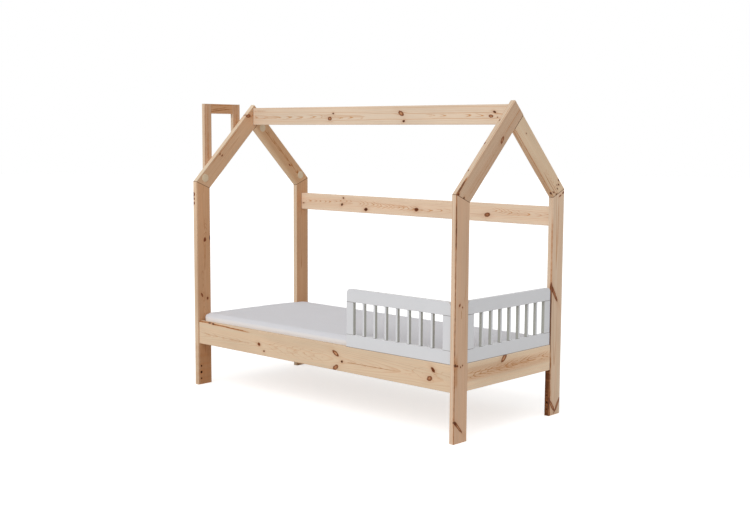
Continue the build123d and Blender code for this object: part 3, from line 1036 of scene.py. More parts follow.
def piece(title: str, shape: BMesh, smooth: float = 40.0) -> Object:
    """Makes an object of a shape.

    Args:
        title: name of the object.
        shape: the shape, which is used up.
        smooth: angle in degrees up to which edges are smooth.

    Returns:
        The new object, at the origin.
    """
    bmesh.ops.recalc_face_normals(shape, faces=shape.faces)
    mesh = bpy.data.meshes.new(title)
    shape.to_mesh(mesh)
    shape.free()
    mesh.shade_smooth()
    mesh.set_sharp_from_angle(angle=math.radians(smooth))
    return add_object(title, mesh)


def settle(made: Object, body: Body, slot: Slot, *nodes: str) -> None:
    """Sets a finished piece on its body, hides the nodes that it stands for, and reports it.

    Args:
        made: the piece.
        body: body that it rides on.
        slot: its material slot; not used.
        nodes: nodes that it stands for.
    """
    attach(made, body.value)
    if nodes:
        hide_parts(*nodes)
    log.info("built %s with %d faces", made.name, len(made.data.polygons))


def evaluated_mesh(made: Object) -> bpy.types.Mesh:
    """Gives a plain mesh of an object with its modifiers applied."""
    shown = bpy.context.evaluated_depsgraph_get()
    return bpy.data.meshes.new_from_object(made.evaluated_get(shown))


def lathe(profile: Sequence[tuple[float, float]], sides: int, made: BMesh | None = None) -> BMesh:
    """Turns a profile about Z.

    Args:
        profile: radius and height of each point, where a radius of 0 closes the shape.
        sides: number of sides round the shape.
        made: shape to add to, if not a new one.

    Returns:
        The turned shape.
    """
    if made is None:
        made = bmesh.new()
    turns = [math.tau * i / sides for i in range(sides)]
    rings = []
    for radius, height in profile:
        if radius == 0.0:
            rings.append([made.verts.new((0.0, 0.0, height))] * sides)
        else:
            round_z = [(radius * math.cos(turn), radius * math.sin(turn), height) for turn in turns]
            rings.append([made.verts.new(point) for point in round_z])
    for low, high in zip(rings, rings[1:]):
        for i in range(sides):
            j = (i + 1) % sides
            made.faces.new(dict.fromkeys((low[i], low[j], high[j], high[i])))
    return made


def loose_solids(node: str) -> list[np.ndarray]:
    """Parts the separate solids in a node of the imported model.

    Args:
        node: name of the node.

    Returns:
        The corner points of each solid.
    """
    shape = bmesh.new()
    shape.from_mesh(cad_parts[node].data)
    bmesh.ops.remove_doubles(shape, verts=shape.verts, dist=MERGE_GAP)
    left = set(shape.verts)
    found = []
    for first in list(shape.verts):
        if first not in left:
            continue
        left.discard(first)
        group, ahead = [], [first]
        while ahead:
            vert = ahead.pop()
            group.append(vert.co[:])
            near = {edge.other_vert(vert) for edge in vert.link_edges} & left
            left -= near
            ahead.extend(near)
        found.append(np.array(group))
    shape.free()
    return sorted(found, key=lambda points: tuple(points.mean(0).round(4)))


@dataclass(frozen=True)
class Seat:
    """Place for one copy of a fitting: where it sits, the way that it faces and the way of its X axis."""

    place: Vector
    outward: Vector
    sideways: Vector


class NodeTree(Group):
    """Base of the Geometry Nodes trees, which are used through a modifier."""

    kind = "GeometryNodeTree"
    gives = {"Geometry": GEOMETRY}

    def coated(self, w: Wiring, given: Sockets, shape: Socket) -> Sockets:
        """Ends a tree with real copies in their finish.

        Args:
            w: wiring of the tree.
            given: the tree's inputs, by name.
            shape: geometry to finish.

        Returns:
            The tree's outputs, by name.
        """
        real = w.out("GeometryNodeRealizeInstances", {0: shape})
        coat = {"Geometry": real, "Material": given["Finish"]}
        return {"Geometry": w.out("GeometryNodeSetMaterial", coat)}

    def grow(self, start: Object, inputs: Mapping[str, object], smooth: float = 40.0) -> Object:
        """Turns a start object into the tree's result as a plain mesh.

        Args:
            start: object whose mesh the tree works on.
            inputs: value of each of the tree's inputs, by name.
            smooth: angle in degrees up to which edges are smooth.

        Returns:
            The same object with its new mesh and no modifier.
        """
        tree = self.tree()
        modifier = start.modifiers.new(tree.name, "NODES")
        modifier.node_group = tree
        for item in tree.interface.items_tree:
            if item.in_out == "INPUT" and item.name in inputs:
                modifier[item.identifier] = inputs[item.name]
        mesh = evaluated_mesh(start)
        start.modifiers.clear()
        start.data = mesh
        mesh.shade_smooth()
        mesh.set_sharp_from_angle(angle=math.radians(smooth))
        return start


class SetCopies(NodeTree):
    """Sets a copy of one fitting at each point, facing as the point says, with a seeded turn."""

    takes = {
        "Geometry": GEOMETRY,
        "Fitting": "NodeSocketObject",
        "Spin": FLOAT,
        "Seed": "NodeSocketInt",
        "Finish": FINISH,
    }
    seed = 7

    def wire(self, w: Wiring, given: Sockets) -> Sockets:
        """Builds the copies.

        Args:
            w: wiring of the group.
            given: its inputs.

        Returns:
            Its outputs.
        """
        ways = {}
        for name in ("outward", "sideways"):
            read = w.node("GeometryNodeInputNamedAttribute", {"Name": name}, data_type="FLOAT_VECTOR")
            ways[name] = read.outputs["Attribute"]
        axes = {"Primary Axis": ways["outward"], "Secondary Axis": ways["sideways"]}
        facing = w.out("FunctionNodeAxesToRotation", axes, primary_axis="Z", secondary_axis="X")
        chance = w.node("FunctionNodeRandomValue", {"Seed": given["Seed"]}, data_type="FLOAT")
        turn = w.math("MULTIPLY", chance.outputs["Value"], given["Spin"])
        spin = w.out("FunctionNodeEulerToRotation", {0: w.join(0.0, 0.0, turn)})
        turned = w.out("FunctionNodeRotateRotation", {0: facing, 1: spin}, rotation_space="LOCAL")
        fitting = w.node("GeometryNodeObjectInfo", {"Object": given["Fitting"]}).outputs["Geometry"]
        copies = {"Points": given["Geometry"], "Instance": fitting, "Rotation": turned}
        return self.coated(w, given, w.out("GeometryNodeInstanceOnPoints", copies))

    def lay(
        self, title: str, seats: Sequence[Seat], fitting: Object, finish: Material, spin: float = 0.0
    ) -> Object:
        """Sets copies of a fitting on seats.

        Args:
            title: name of the new piece.
            seats: where the copies go.
            fitting: shape to copy, which is removed afterwards.
            finish: material of the copies.
            spin: most that a copy turns about its own Z axis, in radians.

        Returns:
            One piece with all the copies.
        """
        mesh = bpy.data.meshes.new(title)
        mesh.from_pydata([seat.place for seat in seats], [], [])
        for name in ("outward", "sideways"):
            ways = np.array([getattr(seat, name) for seat in seats], np.float32)
            mesh.attributes.new(name, "FLOAT_VECTOR", "POINT").data.foreach_set("vector", ways.ravel())
        made = add_object(title, mesh)
        self.grow(made, {"Fitting": fitting, "Spin": spin, "Seed": self.seed, "Finish": finish})
        bpy.data.objects.remove(fitting)
        return made


class SewnSeam(NodeTree):
    """A thin welt along a closed line, with a row of stitches on it."""

    sizes = floats("Welt Radius", "Stitch Pitch", "Stitch Length", "Thread Radius")
    takes = {"Geometry": GEOMETRY, **sizes, "Finish": FINISH}

    def wire(self, w: Wiring, given: Sockets) -> Sockets:
        """Builds the welt and the stitches.

        Args:
            w: wiring of the group.
            given: its inputs.

        Returns:
            Its outputs.
        """
        line = w.out("GeometryNodeMeshToCurve", {"Mesh": given["Geometry"]})
        ring = w.node("GeometryNodeCurvePrimitiveCircle", {"Resolution": 8, "Radius": given["Welt Radius"]})
        welt = w.out("GeometryNodeCurveToMesh", {"Curve": line, "Profile Curve": ring.outputs[0]})
        steps = {"Curve": line, "Length": given["Stitch Pitch"]}
        spots = w.out("GeometryNodeResampleCurve", steps, mode="LENGTH")
        ball = w.node("GeometryNodeMeshUVSphere", {"Segments": 6, "Rings": 5, "Radius": 0.5})
        width = w.math("MULTIPLY", given["Thread Radius"], 2.0)
        size = w.join(given["Stitch Length"], width, width)
        stitch = w.out("GeometryNodeTransform", {"Geometry": ball.outputs[0], "Scale": size})
        tangent = w.out("GeometryNodeInputTangent")
        along = w.out("FunctionNodeAlignRotationToVector", {"Vector": tangent}, axis="X")
        copies = {"Points": spots, "Instance": stitch, "Rotation": along}
        stitches = w.out("GeometryNodeInstanceOnPoints", copies)
        both = w.node("GeometryNodeJoinGeometry")
        w.tree.links.new(welt, both.inputs[0])
        w.tree.links.new(stitches, both.inputs[0])
        return self.coated(w, given, both.outputs[0])


class WovenTape(NodeTree):
    """A flat tape of even width and thickness along a line."""

    takes = {"Geometry": GEOMETRY, **floats("Width", "Thickness"), "Finish": FINISH}

    def wire(self, w: Wiring, given: Sockets) -> Sockets:
        """Builds the tape by sweeping its section along the line.

        Args:
            w: wiring of the group.
            given: its inputs.

        Returns:
            Its outputs.
        """
        line = w.out("GeometryNodeMeshToCurve", {"Mesh": given["Geometry"]})
        upright = w.out("GeometryNodeSetCurveNormal", {"Curve": line}, mode="Z_UP")
        section = {"Width": given["Width"], "Height": given["Thickness"]}
        profile = w.out("GeometryNodeCurvePrimitiveQuadrilateral", section)
        sweep = {"Curve": upright, "Profile Curve": profile, "Fill Caps": True}
        return self.coated(w, given, w.out("GeometryNodeCurveToMesh", sweep))


def line_object(title: str, points: Sequence[Vector], closed: bool) -> Object:
    """Makes an object of a line of edges through points.

    Args:
        title: name of the object.
        points: points along the line.
        closed: whether the line ends where it starts.

    Returns:
        The new object.
    """
    edges = [(i, i + 1) for i in range(len(points) - 1)]
    if closed:
        edges.append((len(points) - 1, 0))
    mesh = bpy.data.meshes.new(title)
    mesh.from_pydata(points, edges, [])
    return add_object(title, mesh)


@dataclass(frozen=True)
class Plank:
    """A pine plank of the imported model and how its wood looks."""

    node: str
    grain: Grain
    figure: Figure
    knots: Sequence[Knot] = ()
    joints: Sequence[JointLine] = ()
    flames: Sequence[Flame] = ()
    streaks: Sequence[Streak] = ()

    def extent(self) -> tuple[Vector, Vector]:
        """Measures the plank along its own directions.

        Returns:
            The middle, and half the length, width and thickness.
        """
        axes = np.array(self.grain.axes())
        points = np.array([vert.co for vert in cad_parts[self.node].data.vertices]) @ axes
        low, high = points.min(0), points.max(0)
        return Vector(axes @ (low + high) / 2), Vector(high - low) / 2

    def dress(self) -> None:
        """Gives the plank its pine."""
        centre, half_size = self.extent()
        look = (self.figure, self.knots, self.joints, self.flames, self.streaks)
        dress(self.node, PineFinish(f"{self.node}_pine", self.grain, centre, half_size, *look).material())


@dataclass(frozen=True)
class SpareHoles:
    """Rows of spare holes near a post's foot, in millimetres from the middle of the post."""

    places: tuple[float, ...] = (-419.0, -451.0, -483.0)
    radii: tuple[float, ...] = (4.2, 6.2, 4.2)
    depth: float = 18.0
    offset: float = 23.5
    edge: float = 43.0

    def marks(self, along_bed: int, across_bed: int) -> list[Knot]:
        """Darkens the holes in a post's inner wide face and in its inner edge.

        Args:
            along_bed: 1 where the inner wide face looks to the foot end, -1 where it looks to the head end.
            across_bed: 1 where the inner edge looks to the rear, -1 where it looks to the front.

        Returns:
            A dark spot for each hole.
        """
        spots = []
        for place, radius in zip(self.places, self.radii):
            narrow = radius / self.depth
            spots.append(Knot(place, -across_bed * self.offset, radius, 1, 0, 1, -along_bed, self.depth))
            spots.append(Knot(place, across_bed * self.edge, self.depth, narrow, 0, 1, 0, radius))
        return spots


SPARE_HOLES = SpareHoles()
SQUARE_ENDS = (JointLine(1), JointLine(-1))
FRONT_POST_JOINTS = (JointLine(1, -1),)
REAR_POST_JOINTS = (JointLine(1, 1),)
FRONT_RAFTER_JOINTS = (JointLine(-1, 1),)
REAR_RAFTER_JOINTS = (JointLine(1, 1), JointLine(-1))
POSTS = (
    Plank(
        "post_front_foot",
        Grain.UPRIGHT,
        Figure(1.3, (62, -30), 0.004, 3.2, 6, 104, 0.5, (1.03, 1.03, 1.07), sap_edge=-1),
        (
            Knot(62, -14, 4, 1.6, 20, 0.5, -1, 12),
            Knot(52, 4, 2.6, 1.5, -20, 0.6, -1, 12),
            Knot(-184, -39, 5, 1.3, 0, 1, -1, 6),
            Knot(-187, -28, 4.5, 1.8, 105, 0.62, -1, 9),
            Knot(-194, -4, 2.8, 1.2, 0, 0.95),
            Knot(-189, 9, 2.8, 1.2, 20, 0.8),
            Knot(-424, -36, 6, 1.7, -44, 0.85, -1, 9),
            Knot(-447, -13, 5, 6, -44, 0.24, -1, 12),
            *SPARE_HOLES.marks(-1, 1),
        ),
        FRONT_POST_JOINTS,
        (),
        (
            # painted shade: dark line along the corner of the front narrow face and the outer face
            Streak(-760, 900, -43, 4, 0.8, 0, -1, 4.5),
            Streak(260, 520, -42, 5, 1, 0, -1, 5.5),
            Streak(-900, 900, -43, 5, 0.2, 0, -0.72, 8),
            Streak(-300, -110, -34, 15, 0.32, 0, -1, 9),
            Streak(0, 48, -2, 1.8, 0.6, 0, -1, 10),
            Streak(60, 160, 14, 3, 0.3, 14, -1, 10),
            Streak(-160, 420, 24, 3, 0.15),
        ),
    ),
    Plank(
        "post_rear_foot",
        Grain.UPRIGHT,
        Figure(4.7, (-10, -48), 0.010, 3.8, 8, 58, 0.35, (1.05, 1.12, 1.21), 0.1),
        (
            Knot(74, -39, 5, 4.5, -12, 0.6, -1, 7),
            Knot(44, -20, 7.5, 5.6, -34, 0.3, -1, 14),
            Knot(-467, -21, 7, 5.2, -37, 0.26, -1, 14),
            Knot(-469, 21, 6, 6, 33, 0.26, -1, 14),
            Knot(-455, -43, 6, 5, 0, 0.9, -1, 6),
            Knot(496, 35, 3.5, 2.6, 60, 0.6, -1, 10),
            Knot(482, 10, 2.8, 3, 66, 0.5, -1, 10),
            *SPARE_HOLES.marks(-1, -1),
        ),
        REAR_POST_JOINTS,
        (),
        (
            Streak(-860, -120, -43, 16, 1.2, 0, 0, 24),
            # painted shadow in the narrow gap beside the end guard, on the inner narrow face near the outer
            # face
            Streak(-260, 130, -43, 5, 1.6, 0, -1, 12),
            Streak(40, 440, -43, 6, 0.42, 0, -0.8, 6),
            Streak(240, 470, 3, 1.8, 0.4, -1, -1, 10),
            Streak(150, 560, 34, 5, 0.15),
        ),
    ),
    Plank(
        "post_front_head",
        Grain.UPRIGHT,
        Figure(7.9, (4, -30), 0.016, 3.4, 8, heart=47, heart_share=1, lean=0.2),
        (
            Knot(220, 7, 7, 1.5, 15, 0.55),
            Knot(227, 40, 5, 2.6, 0, 1, -1, 7),
            Knot(205, 42, 3, 1.6, 0, 1, -1, 7),
            Knot(-58, -14, 5, 2.2, -30, 0.42),
            Knot(-78, 21, 5, 1.3, 0, 0.6),
            Knot(449, -43, 7, 1.5, 0, 0.6, 0.56, 7),
            Knot(427, -43, 5, 1.2, 0, 0.6, 0.48, 5),
            Knot(405, -43, 5, 1.5, 0, 0.6, 0.56, 6),
            *SPARE_HOLES.marks(1, 1),
        ),
        FRONT_POST_JOINTS,
        (
            Flame(228, 330, 11, 3, 14, 24, 2, 0.8),
            Flame(-340, 150, 4, -14, 12, 36, 3, 0.5),
        ),
        (Streak(110, 215, 7, 3.5, 0.5), Streak(-760, -200, 0, 60, 0.3)),
    ),
    Plank(
        "post_rear_head",
        Grain.UPRIGHT,
        Figure(9.2, (-6, -26), 0.010, 3.2, 6, heart=47, lean=0.1, sap_edge=-1),
        (Knot(-240, -12, 6, 1.3, 0, 0.7), *SPARE_HOLES.marks(1, -1)),
        REAR_POST_JOINTS,
    ),
)
RAFTERS = (
    Plank(
        "rafter_front_foot",
        Grain.RISING,
        Figure(2.1, (-54, 30), 0.006, 3.2, 7, 110, 0.5, (0.96, 1, 1.06), late=1, sap_edge=1),
        (
            Knot(93, -14, 7, 2.3, 14, 0.22),
            Knot(-264, 34, 4.5, 1.5, 0, 0.6, 1, 10),
            Knot(-250, -1, 4, 1.3, 0, 0.95),
            Knot(18, 43, 4, 1.6, 0, 0.5, -0.68, 4),
            Knot(-137, 43, 4, 1.2, 0, 0.7, -0.36, 2.2),
            Knot(153, 43, 4, 1.2, 0, 0.7, -0.416, 2.2),
        ),
        FRONT_RAFTER_JOINTS,
        (Flame(-10, 80, -12, 0, 22, 30, -1.6, 0.45),),
        (
            Streak(-330, -160, 38, 6, 1.2, 7, 1, 8),
            Streak(105, 330, -7, 4, 0.34, -2),
            Streak(-260, 90, -20, 5, 0.24),
            Streak(-260, 60, -5, 4, 0.2),
            Streak(-200, 120, -33, 4, 0.2),
        ),
    ),
    Plank(
        "rafter_rear_foot",
        Grain.FALLING,
        Figure(5.5, (-62, 0), 0, 3.8, 8, 26, 0.7, (1.05, 1.07, 1.06)),
        (
            Knot(166, 37, 3.4, 1.4, 0, 0.95),
            Knot(181, 23, 3.2, 1.6, 20, 0.8),
            Knot(187, 4, 3, 1.4, 0, 0.85),
            Knot(173, 13, 2.4, 1.3, 0, 0.9),
            Knot(178, -27, 2.8, 2.8, 20, 0.55),
            Knot(200, -17, 2.8, 2, 60, 0.75),
            Knot(226, 26, 4, 2.4, 60, 0.7),
            Knot(222, 4, 3, 3, 65, 0.6),
            Knot(168, -42, 3, 2.4, 0, 0.8, 1, 8),
            Knot(-157, 4, 2.4, 1.2, 0, 0.9),
        ),
        REAR_RAFTER_JOINTS,
        (Flame(60, 190, 3, 0, 20, 26, 2.2, 0.5),),
        (
            Streak(-300, 300, -41, 2, 0.45, 0, 1, 8),
            Streak(-60, 320, -14, 18, 0.12),
            Streak(40, 280, -20, 2.4, 0.5),
            Streak(90, 280, -8, 2.4, 0.4),
        ),
    ),
    Plank(
        "rafter_front_head",
        Grain.RISING,
        Figure(8.3, (0, 34), 0.014, 3.4, 8, 62, 0.9, (1.04, 1.11, 1.17), late=0.3, sap_edge=1),
        (
            Knot(203, 31, 8, 1.8, -40, 0.26),
            Knot(-64, 14, 3.5, 1.6, 0, 0.55),
            Knot(-68, 29, 3.5, 1.6, 30, 0.3),
        ),
        FRONT_RAFTER_JOINTS,
        (),
        (Streak(-190, 180, 32, 3, 0.4), Streak(200, 300, 12, 5, 0.4, 6)),
    ),
    Plank(
        "rafter_rear_head",
        Grain.FALLING,
        Figure(3.4, (18, 16), 0, 2.8, 10, 44, 0.6, (0.99, 0.92, 0.82), late=0.5),
        (Knot(82, -3, 3, 2.4, 0, 0.6),),
        REAR_RAFTER_JOINTS,
        (Flame(-210, 200, 6, 2, 12, 60, 4, 1.5),),
        (Streak(-210, 60, 0, 2.2, 0.55, 6), Streak(-120, 190, 11, 2.2, 0.55, -5)),
    ),
)
BEAMS = (
    Plank(
        "ridge_beam",
        Grain.LENGTHWISE,
        Figure(6.1, (-5, 58), 0.004, 3.6, 9, tone=(1.06, 1.11, 1.19), lean=0.03),
        (
            Knot(-255, -14, 8.5, 1.4, 0, 0.2),
            Knot(-232, 10, 4, 1.3, 0, 0.95),
            Knot(205, 8, 9, 1.8, -25, 0.15),
            Knot(222, -26, 5.5, 1.3, 20, 0.9),
            Knot(719, -7, 6, 1.8, -8, 0.1),
            Knot(738, 10, 4.5, 1.8, -15, 0.95),
            Knot(754, -12, 2, 1.6, 0, 0.5),
        ),
        SQUARE_ENDS,
        (
            Flame(-820, -270, -3, -2, 11, 84, 8, 1),
            Flame(-240, -30, -9, 0, 9, 76, 8, 1),
            Flame(340, 500, -3, 0, 8, 70, 8, 1),
            Flame(560, 715, -5, 0, 10, 70, 8, 1),
        ),
        (Streak(-820, -700, 27, 1.8, 0.45), Streak(330, 800, 36, 5, 0.08)),
    ),
    Plank(
        "rear_upper_rail",
        Grain.LENGTHWISE,
        Figure(3.8, (2, 44), 0.007, 3.6, 11, 35, 0.25, (1.18, 1.22, 1.29)),
        (
            Knot(-497, 28, 4, 1.4, -20, 0.95),
            Knot(-507, -6, 5.5, 1.5, 30, 0.9),
            Knot(-335, -24, 8, 1.4, 15, 0.85),
            Knot(8, -8, 8.5, 1.5, 0, 0.7),
            Knot(447, -11, 9, 1.7, 8, 0.3),
            Knot(-798, -10, 2.5, 2.5, 0, 0.6),
        ),
        SQUARE_ENDS,
        (
            Flame(-790, -420, 2, 12, 8, 38, 5, 1),
            Flame(-400, 30, 7, -15, 19, 30, 3.2, 1),
            Flame(30, 235, -8, 4, 11, 64, 7, 1),
            Flame(470, 640, 12, -8, 18, 30, 3.2, 1),
            Flame(640, 820, 4, 0, 12, 60, 7, 1),
        ),
        (Streak(-60, 90, -8, 3, 0.3), Streak(330, 440, -11, 1.5, 0.35)),
    ),
    Plank(
        "side_rail_front",
        Grain.LENGTHWISE,
        Figure(2.7, (-9, 64), 0.026, 3.8, 11, tone=(0.98, 0.98, 0.97), late=0.34),
        (
            Knot(-732, 55, 3.5, 2.6, 0, 1, 1, 14),
            Knot(-703, 53, 3.8, 2.2, 0, 1, 1, 14),
            Knot(-363, -5, 7, 1.3, -15, 0.62),
            Knot(-327, -34, 4, 1.3, 0, 0.85),
            Knot(152, 20, 8.5, 2.3, -28, 0.12),
            Knot(192, -12, 5.2, 1.2, 0, 1),
            Knot(152, -44, 9, 2, 30, 0.24),
            Knot(720, 26, 7, 1.8, -45, 0.7),
            Knot(702, -13, 9.5, 1.4, 20, 0.24),
        ),
        SQUARE_ENDS,
        (
            Flame(-800, -380, -2, -8, 14, 60, 5, 0.5),
            Flame(-330, 90, -6, 0, 36, 62, -3.4, 0.55),
            Flame(190, 640, -12, 8, 18, 90, 6, 0.4),
            Flame(560, 800, 4, 0, 34, 66, -3, 0.5),
        ),
        (
            Streak(-760, -390, 55, 5, 0.62, -13, 1, 20),
            Streak(-850, -680, 56, 6, 0.6, 0, 1, 12),
            Streak(180, 560, -12, 1.6, 0.6, 3, 1, 20),
            Streak(-820, -440, -2, 1.8, 0.35, -8),
            Streak(-600, -385, -9, 1.8, 0.35, 2),
        ),
    ),
    Plank(
        "side_rail_rear",
        Grain.LENGTHWISE,
        Figure(5.9, (10, -58), 0.020, 3.8, 9),
        (
            Knot(-480, 14, 8, 1.3, 0, 0.5),
            Knot(-60, -22, 11, 1.4, 25, 0.2),
            Knot(330, 30, 5, 1.2, 0, 0.9),
            Knot(610, -8, 9, 1.4, -20, 0.3),
        ),
        SQUARE_ENDS,
        (Flame(-420, 300, 4, 10, 22, 52, 2.6, 0.5),),
    ),
    Plank(
        "end_rail_foot",
        Grain.CROSSWISE,
        Figure(1.9, (8, 26), 0.004, 2.8, 9, 27, 0.55, (1.13, 1.17, 1.2)),
        (Knot(-48, 46, 10, 2.2, 38, 0.15),),
        (JointLine(1),),
        (
            Flame(-300, 40, 4, 6, 24, 56, -5, 1),
            Flame(-60, 300, 8, 10, 26, 56, -5, 1),
        ),
        (Streak(-340, 360, 12, 1.6, 0.35, 6), Streak(-340, 200, -2, 1.6, 0.3, 6)),
    ),
    Plank(
        "end_rail_head",
        Grain.CROSSWISE,
        Figure(7.3, (8, 40), 0.010, 3.4, 8, heart=36, heart_share=0.6),
        (Knot(90, -16, 8, 1.4, 15, 0.4), Knot(-150, 24, 5, 1.2, 0, 0.9)),
        SQUARE_ENDS,
        (Flame(-250, 240, 6, -8, 18, 36, 2.6, 0.6),),
    ),
)


@dataclass
class HouseFrame:
    """The posts and rafters of the two gables, and the beams and rails between them."""

    posts: tuple[Plank, ...] = POSTS
    rafters: tuple[Plank, ...] = RAFTERS
    beams: tuple[Plank, ...] = BEAMS

    def build(self) -> None:
        """Dresses every plank of the house frame."""
        for plank in self.posts + self.rafters + self.beams:
            plank.dress()


@dataclass
class SlatBase:
    """Ledges, slats, the webbing straps that keep the slats apart, and their staples."""

    seed: int = 11
    knots_per_slat: int = 2
    strap_width: float = 20.0 * MM
    strap_thickness: float = 1.2 * MM
    strap_sag: float = 2.0 * MM
    strap_steps: int = 6
    least_step: float = 0.001 * MM
    staple_reach: float = 6.0 * MM
    staple_wire: float = 0.5 * MM
    staple_sides: int = 8
    staple_spin: float = 0.25

    def dress_wood(self) -> None:
        """Gives the ledges and slats their pine, each with its own knots."""
        chance = random.Random(self.seed)
        for node in ("slat_ledge_front", "slat_ledge_rear"):
            Plank(node, Grain.LENGTHWISE, Figure(chance.uniform(0, 20), (30.0, 20.0), 0.004, 3.2)).dress()
        for node in SLATS:
            pith = (chance.uniform(-40.0, 40.0), chance.uniform(15.0, 60.0))
            figure = Figure(
                seed=chance.uniform(0.0, 40.0),
                pith=pith,
                slope=chance.uniform(-0.016, 0.016),
                ring=chance.uniform(2.8, 4.2),
                heart=chance.uniform(10.0, 40.0),
                heart_share=0.5,
                tone=(chance.uniform(0.95, 1.03),) * 3,
            )
            knots = [
                Knot(
                    along=chance.uniform(-320.0, 320.0),
                    across=chance.uniform(-28.0, 28.0),
                    radius=chance.uniform(3.5, 9.0),
                    stretch=chance.uniform(1.1, 1.6),
                    turn=chance.uniform(-40.0, 40.0),
                    dark=chance.uniform(0.55, 0.95),
                )
                for _ in range(chance.randint(0, self.knots_per_slat))
            ]
            Plank(node, Grain.FLAT, figure, knots).dress()

    def strap_line(self, node: str) -> list[Vector]:
        """Gives the middle line of a strap, which rests on the slats and sags a little between them.

        Args:
            node: name of the strap's node.

        Returns:
            Points along the line.
        """
        low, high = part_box(node)
        middle = (low + high) / 2
        stops = [low.x]
        for slat in SLATS:
            start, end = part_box(slat)
            stops += [start.x, end.x]
        stops.append(high.x)
        line = [Vector((low.x, middle.y, middle.z))]
        for index, (first, last) in enumerate(zip(stops, stops[1:])):
            open_span = index % 2 == 0 and 0 < index < len(stops) - 2
            for step in range(1, self.strap_steps + 1):
                share = step / self.strap_steps
                sag = self.strap_sag * math.sin(math.pi * share) if open_span else 0.0
                line.append(Vector((first + (last - first) * share, middle.y, middle.z - sag)))
        gaps = ((second - first).length for first, second in zip(line, line[1:]))
        return line[:1] + [point for point, gap in zip(line[1:], gaps) if gap > self.least_step]

    def straps(self) -> None:
        """Builds the two woven straps."""
        cloth = WEBBING.material()
        for side in ("front", "rear"):
            node = f"slat_strap_{side}"
            start = line_object(f"webbing_strap_{side}", self.strap_line(node), closed=False)
            inputs = {"Width": self.strap_width, "Thickness": self.strap_thickness, "Finish": cloth}
            made = WovenTape().grow(start, inputs)
            settle(made, Body.FRAME, Slot.WEBBING, node)

    def staple(self) -> Object:
        """Makes one staple crown, a bent wire that lies along its own X axis.

        Returns:
            The shape to copy.
        """
        shape = lathe([(0.0, -1.0), (1.0, -0.96), (1.0, 0.96), (0.0, 1.0)], self.staple_sides)
        spread = Matrix.Diagonal((self.staple_wire, self.staple_wire, self.staple_reach, 1.0))
        bmesh.ops.transform(shape, matrix=Matrix.Rotation(math.pi / 2, 4, "Y") @ spread, verts=shape.verts)
        return piece("staple_shape", shape)

    def staples(self, steel: Material) -> None:
        """Fastens the straps to each slat with a staple.

        Args:
            steel: finish of the staples.
        """
        seats = []
        for side in ("front", "rear"):
            low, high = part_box(f"slat_strap_{side}")
            for slat in SLATS:
                start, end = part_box(slat)
                place = Vector(((start.x + end.x) / 2, (low.y + high.y) / 2, high.z))
                seats.append(Seat(place, Vector((0, 0, 1)), Vector((0, 1, 0))))
        made = SetCopies().lay("strap_staples", seats, self.staple(), steel, self.staple_spin)
        settle(made, Body.FRAME, Slot.STEEL)

    def build(self, steel: Material) -> None:
        """Builds and dresses the slat base.

        Args:
            steel: finish of the staples.
        """
        self.dress_wood()
        self.straps()
        self.staples(steel)


@dataclass
class Chimney:
    """The open chimney of three planks on the head gable."""

    stile_tone: Colour = (1.04, 1.07, 1.12)
    cross_tone: Colour = (1.03, 1.01, 0.98)

    def build(self) -> None:
        """Dresses the chimney's planks."""
        stile = Figure(3.1, (6, -14), 0.012, 2.8, 7, 26, 0.8, self.stile_tone)
        bands = (
            Streak(-300, 300, -17, 6, 0.3),
            Streak(-90, 100, 0, 9, 0.36),
            Streak(40, 260, -4, 6, 0.3, 8),
        )
        Plank("chimney_stile_front", Grain.UPRIGHT, stile, (), (), (), bands).dress()
        other = Figure(6.6, (6, -14), 0.010, 2.8, 7, 26, 0.8, self.stile_tone)
        Plank("chimney_stile_rear", Grain.UPRIGHT, other, (), (), (), bands).dress()
        cross = Figure(8.8, (4, 30), 0.008, 2.8, 7, 60, 1, self.cross_tone)
        curls = (
            Streak(-90, 80, -15, 3, 0.7, 18),
            Streak(-80, 50, -6, 2.5, 0.65, 16),
            Streak(-100, 100, 19, 4, 0.45),
        )
        Plank("chimney_crosspiece", Grain.CROSSWISE, cross, (), SQUARE_ENDS, (), curls).dress()


@dataclass
class Guards:
    """The two white guards at the foot end."""

    gap_ways: tuple[tuple[str, Colour], ...] = (("front", (1.0, 0.0, 0.0)), ("end", (0.0, 1.0, 0.0)))
    rails: tuple[str, ...] = ("bottom_rail", "top_rail")
    uprights: tuple[str, ...] = ("stile_left", "stile_right", "balusters")
    rail_joint: float = 3.4 * MM

    def build(self) -> None:
        """Paints every member of both guards, with painted shade on the uprights' sides that face the gaps."""
        foot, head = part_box("guard_front_bottom_rail")
        heights = (head.z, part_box("guard_front_top_rail")[0].z)
        rail_paint = PaintFinish("guard_rail_paint", (foot.z,), joint_width=self.rail_joint).material()
        for side, way in self.gap_ways:
            upright_paint = PaintFinish(f"guard_{side}_upright_paint", heights, way).material()
            for member in self.rails:
                dress(f"guard_{side}_{member}", rail_paint)
            for member in self.uprights:
                dress(f"guard_{side}_{member}", upright_paint)


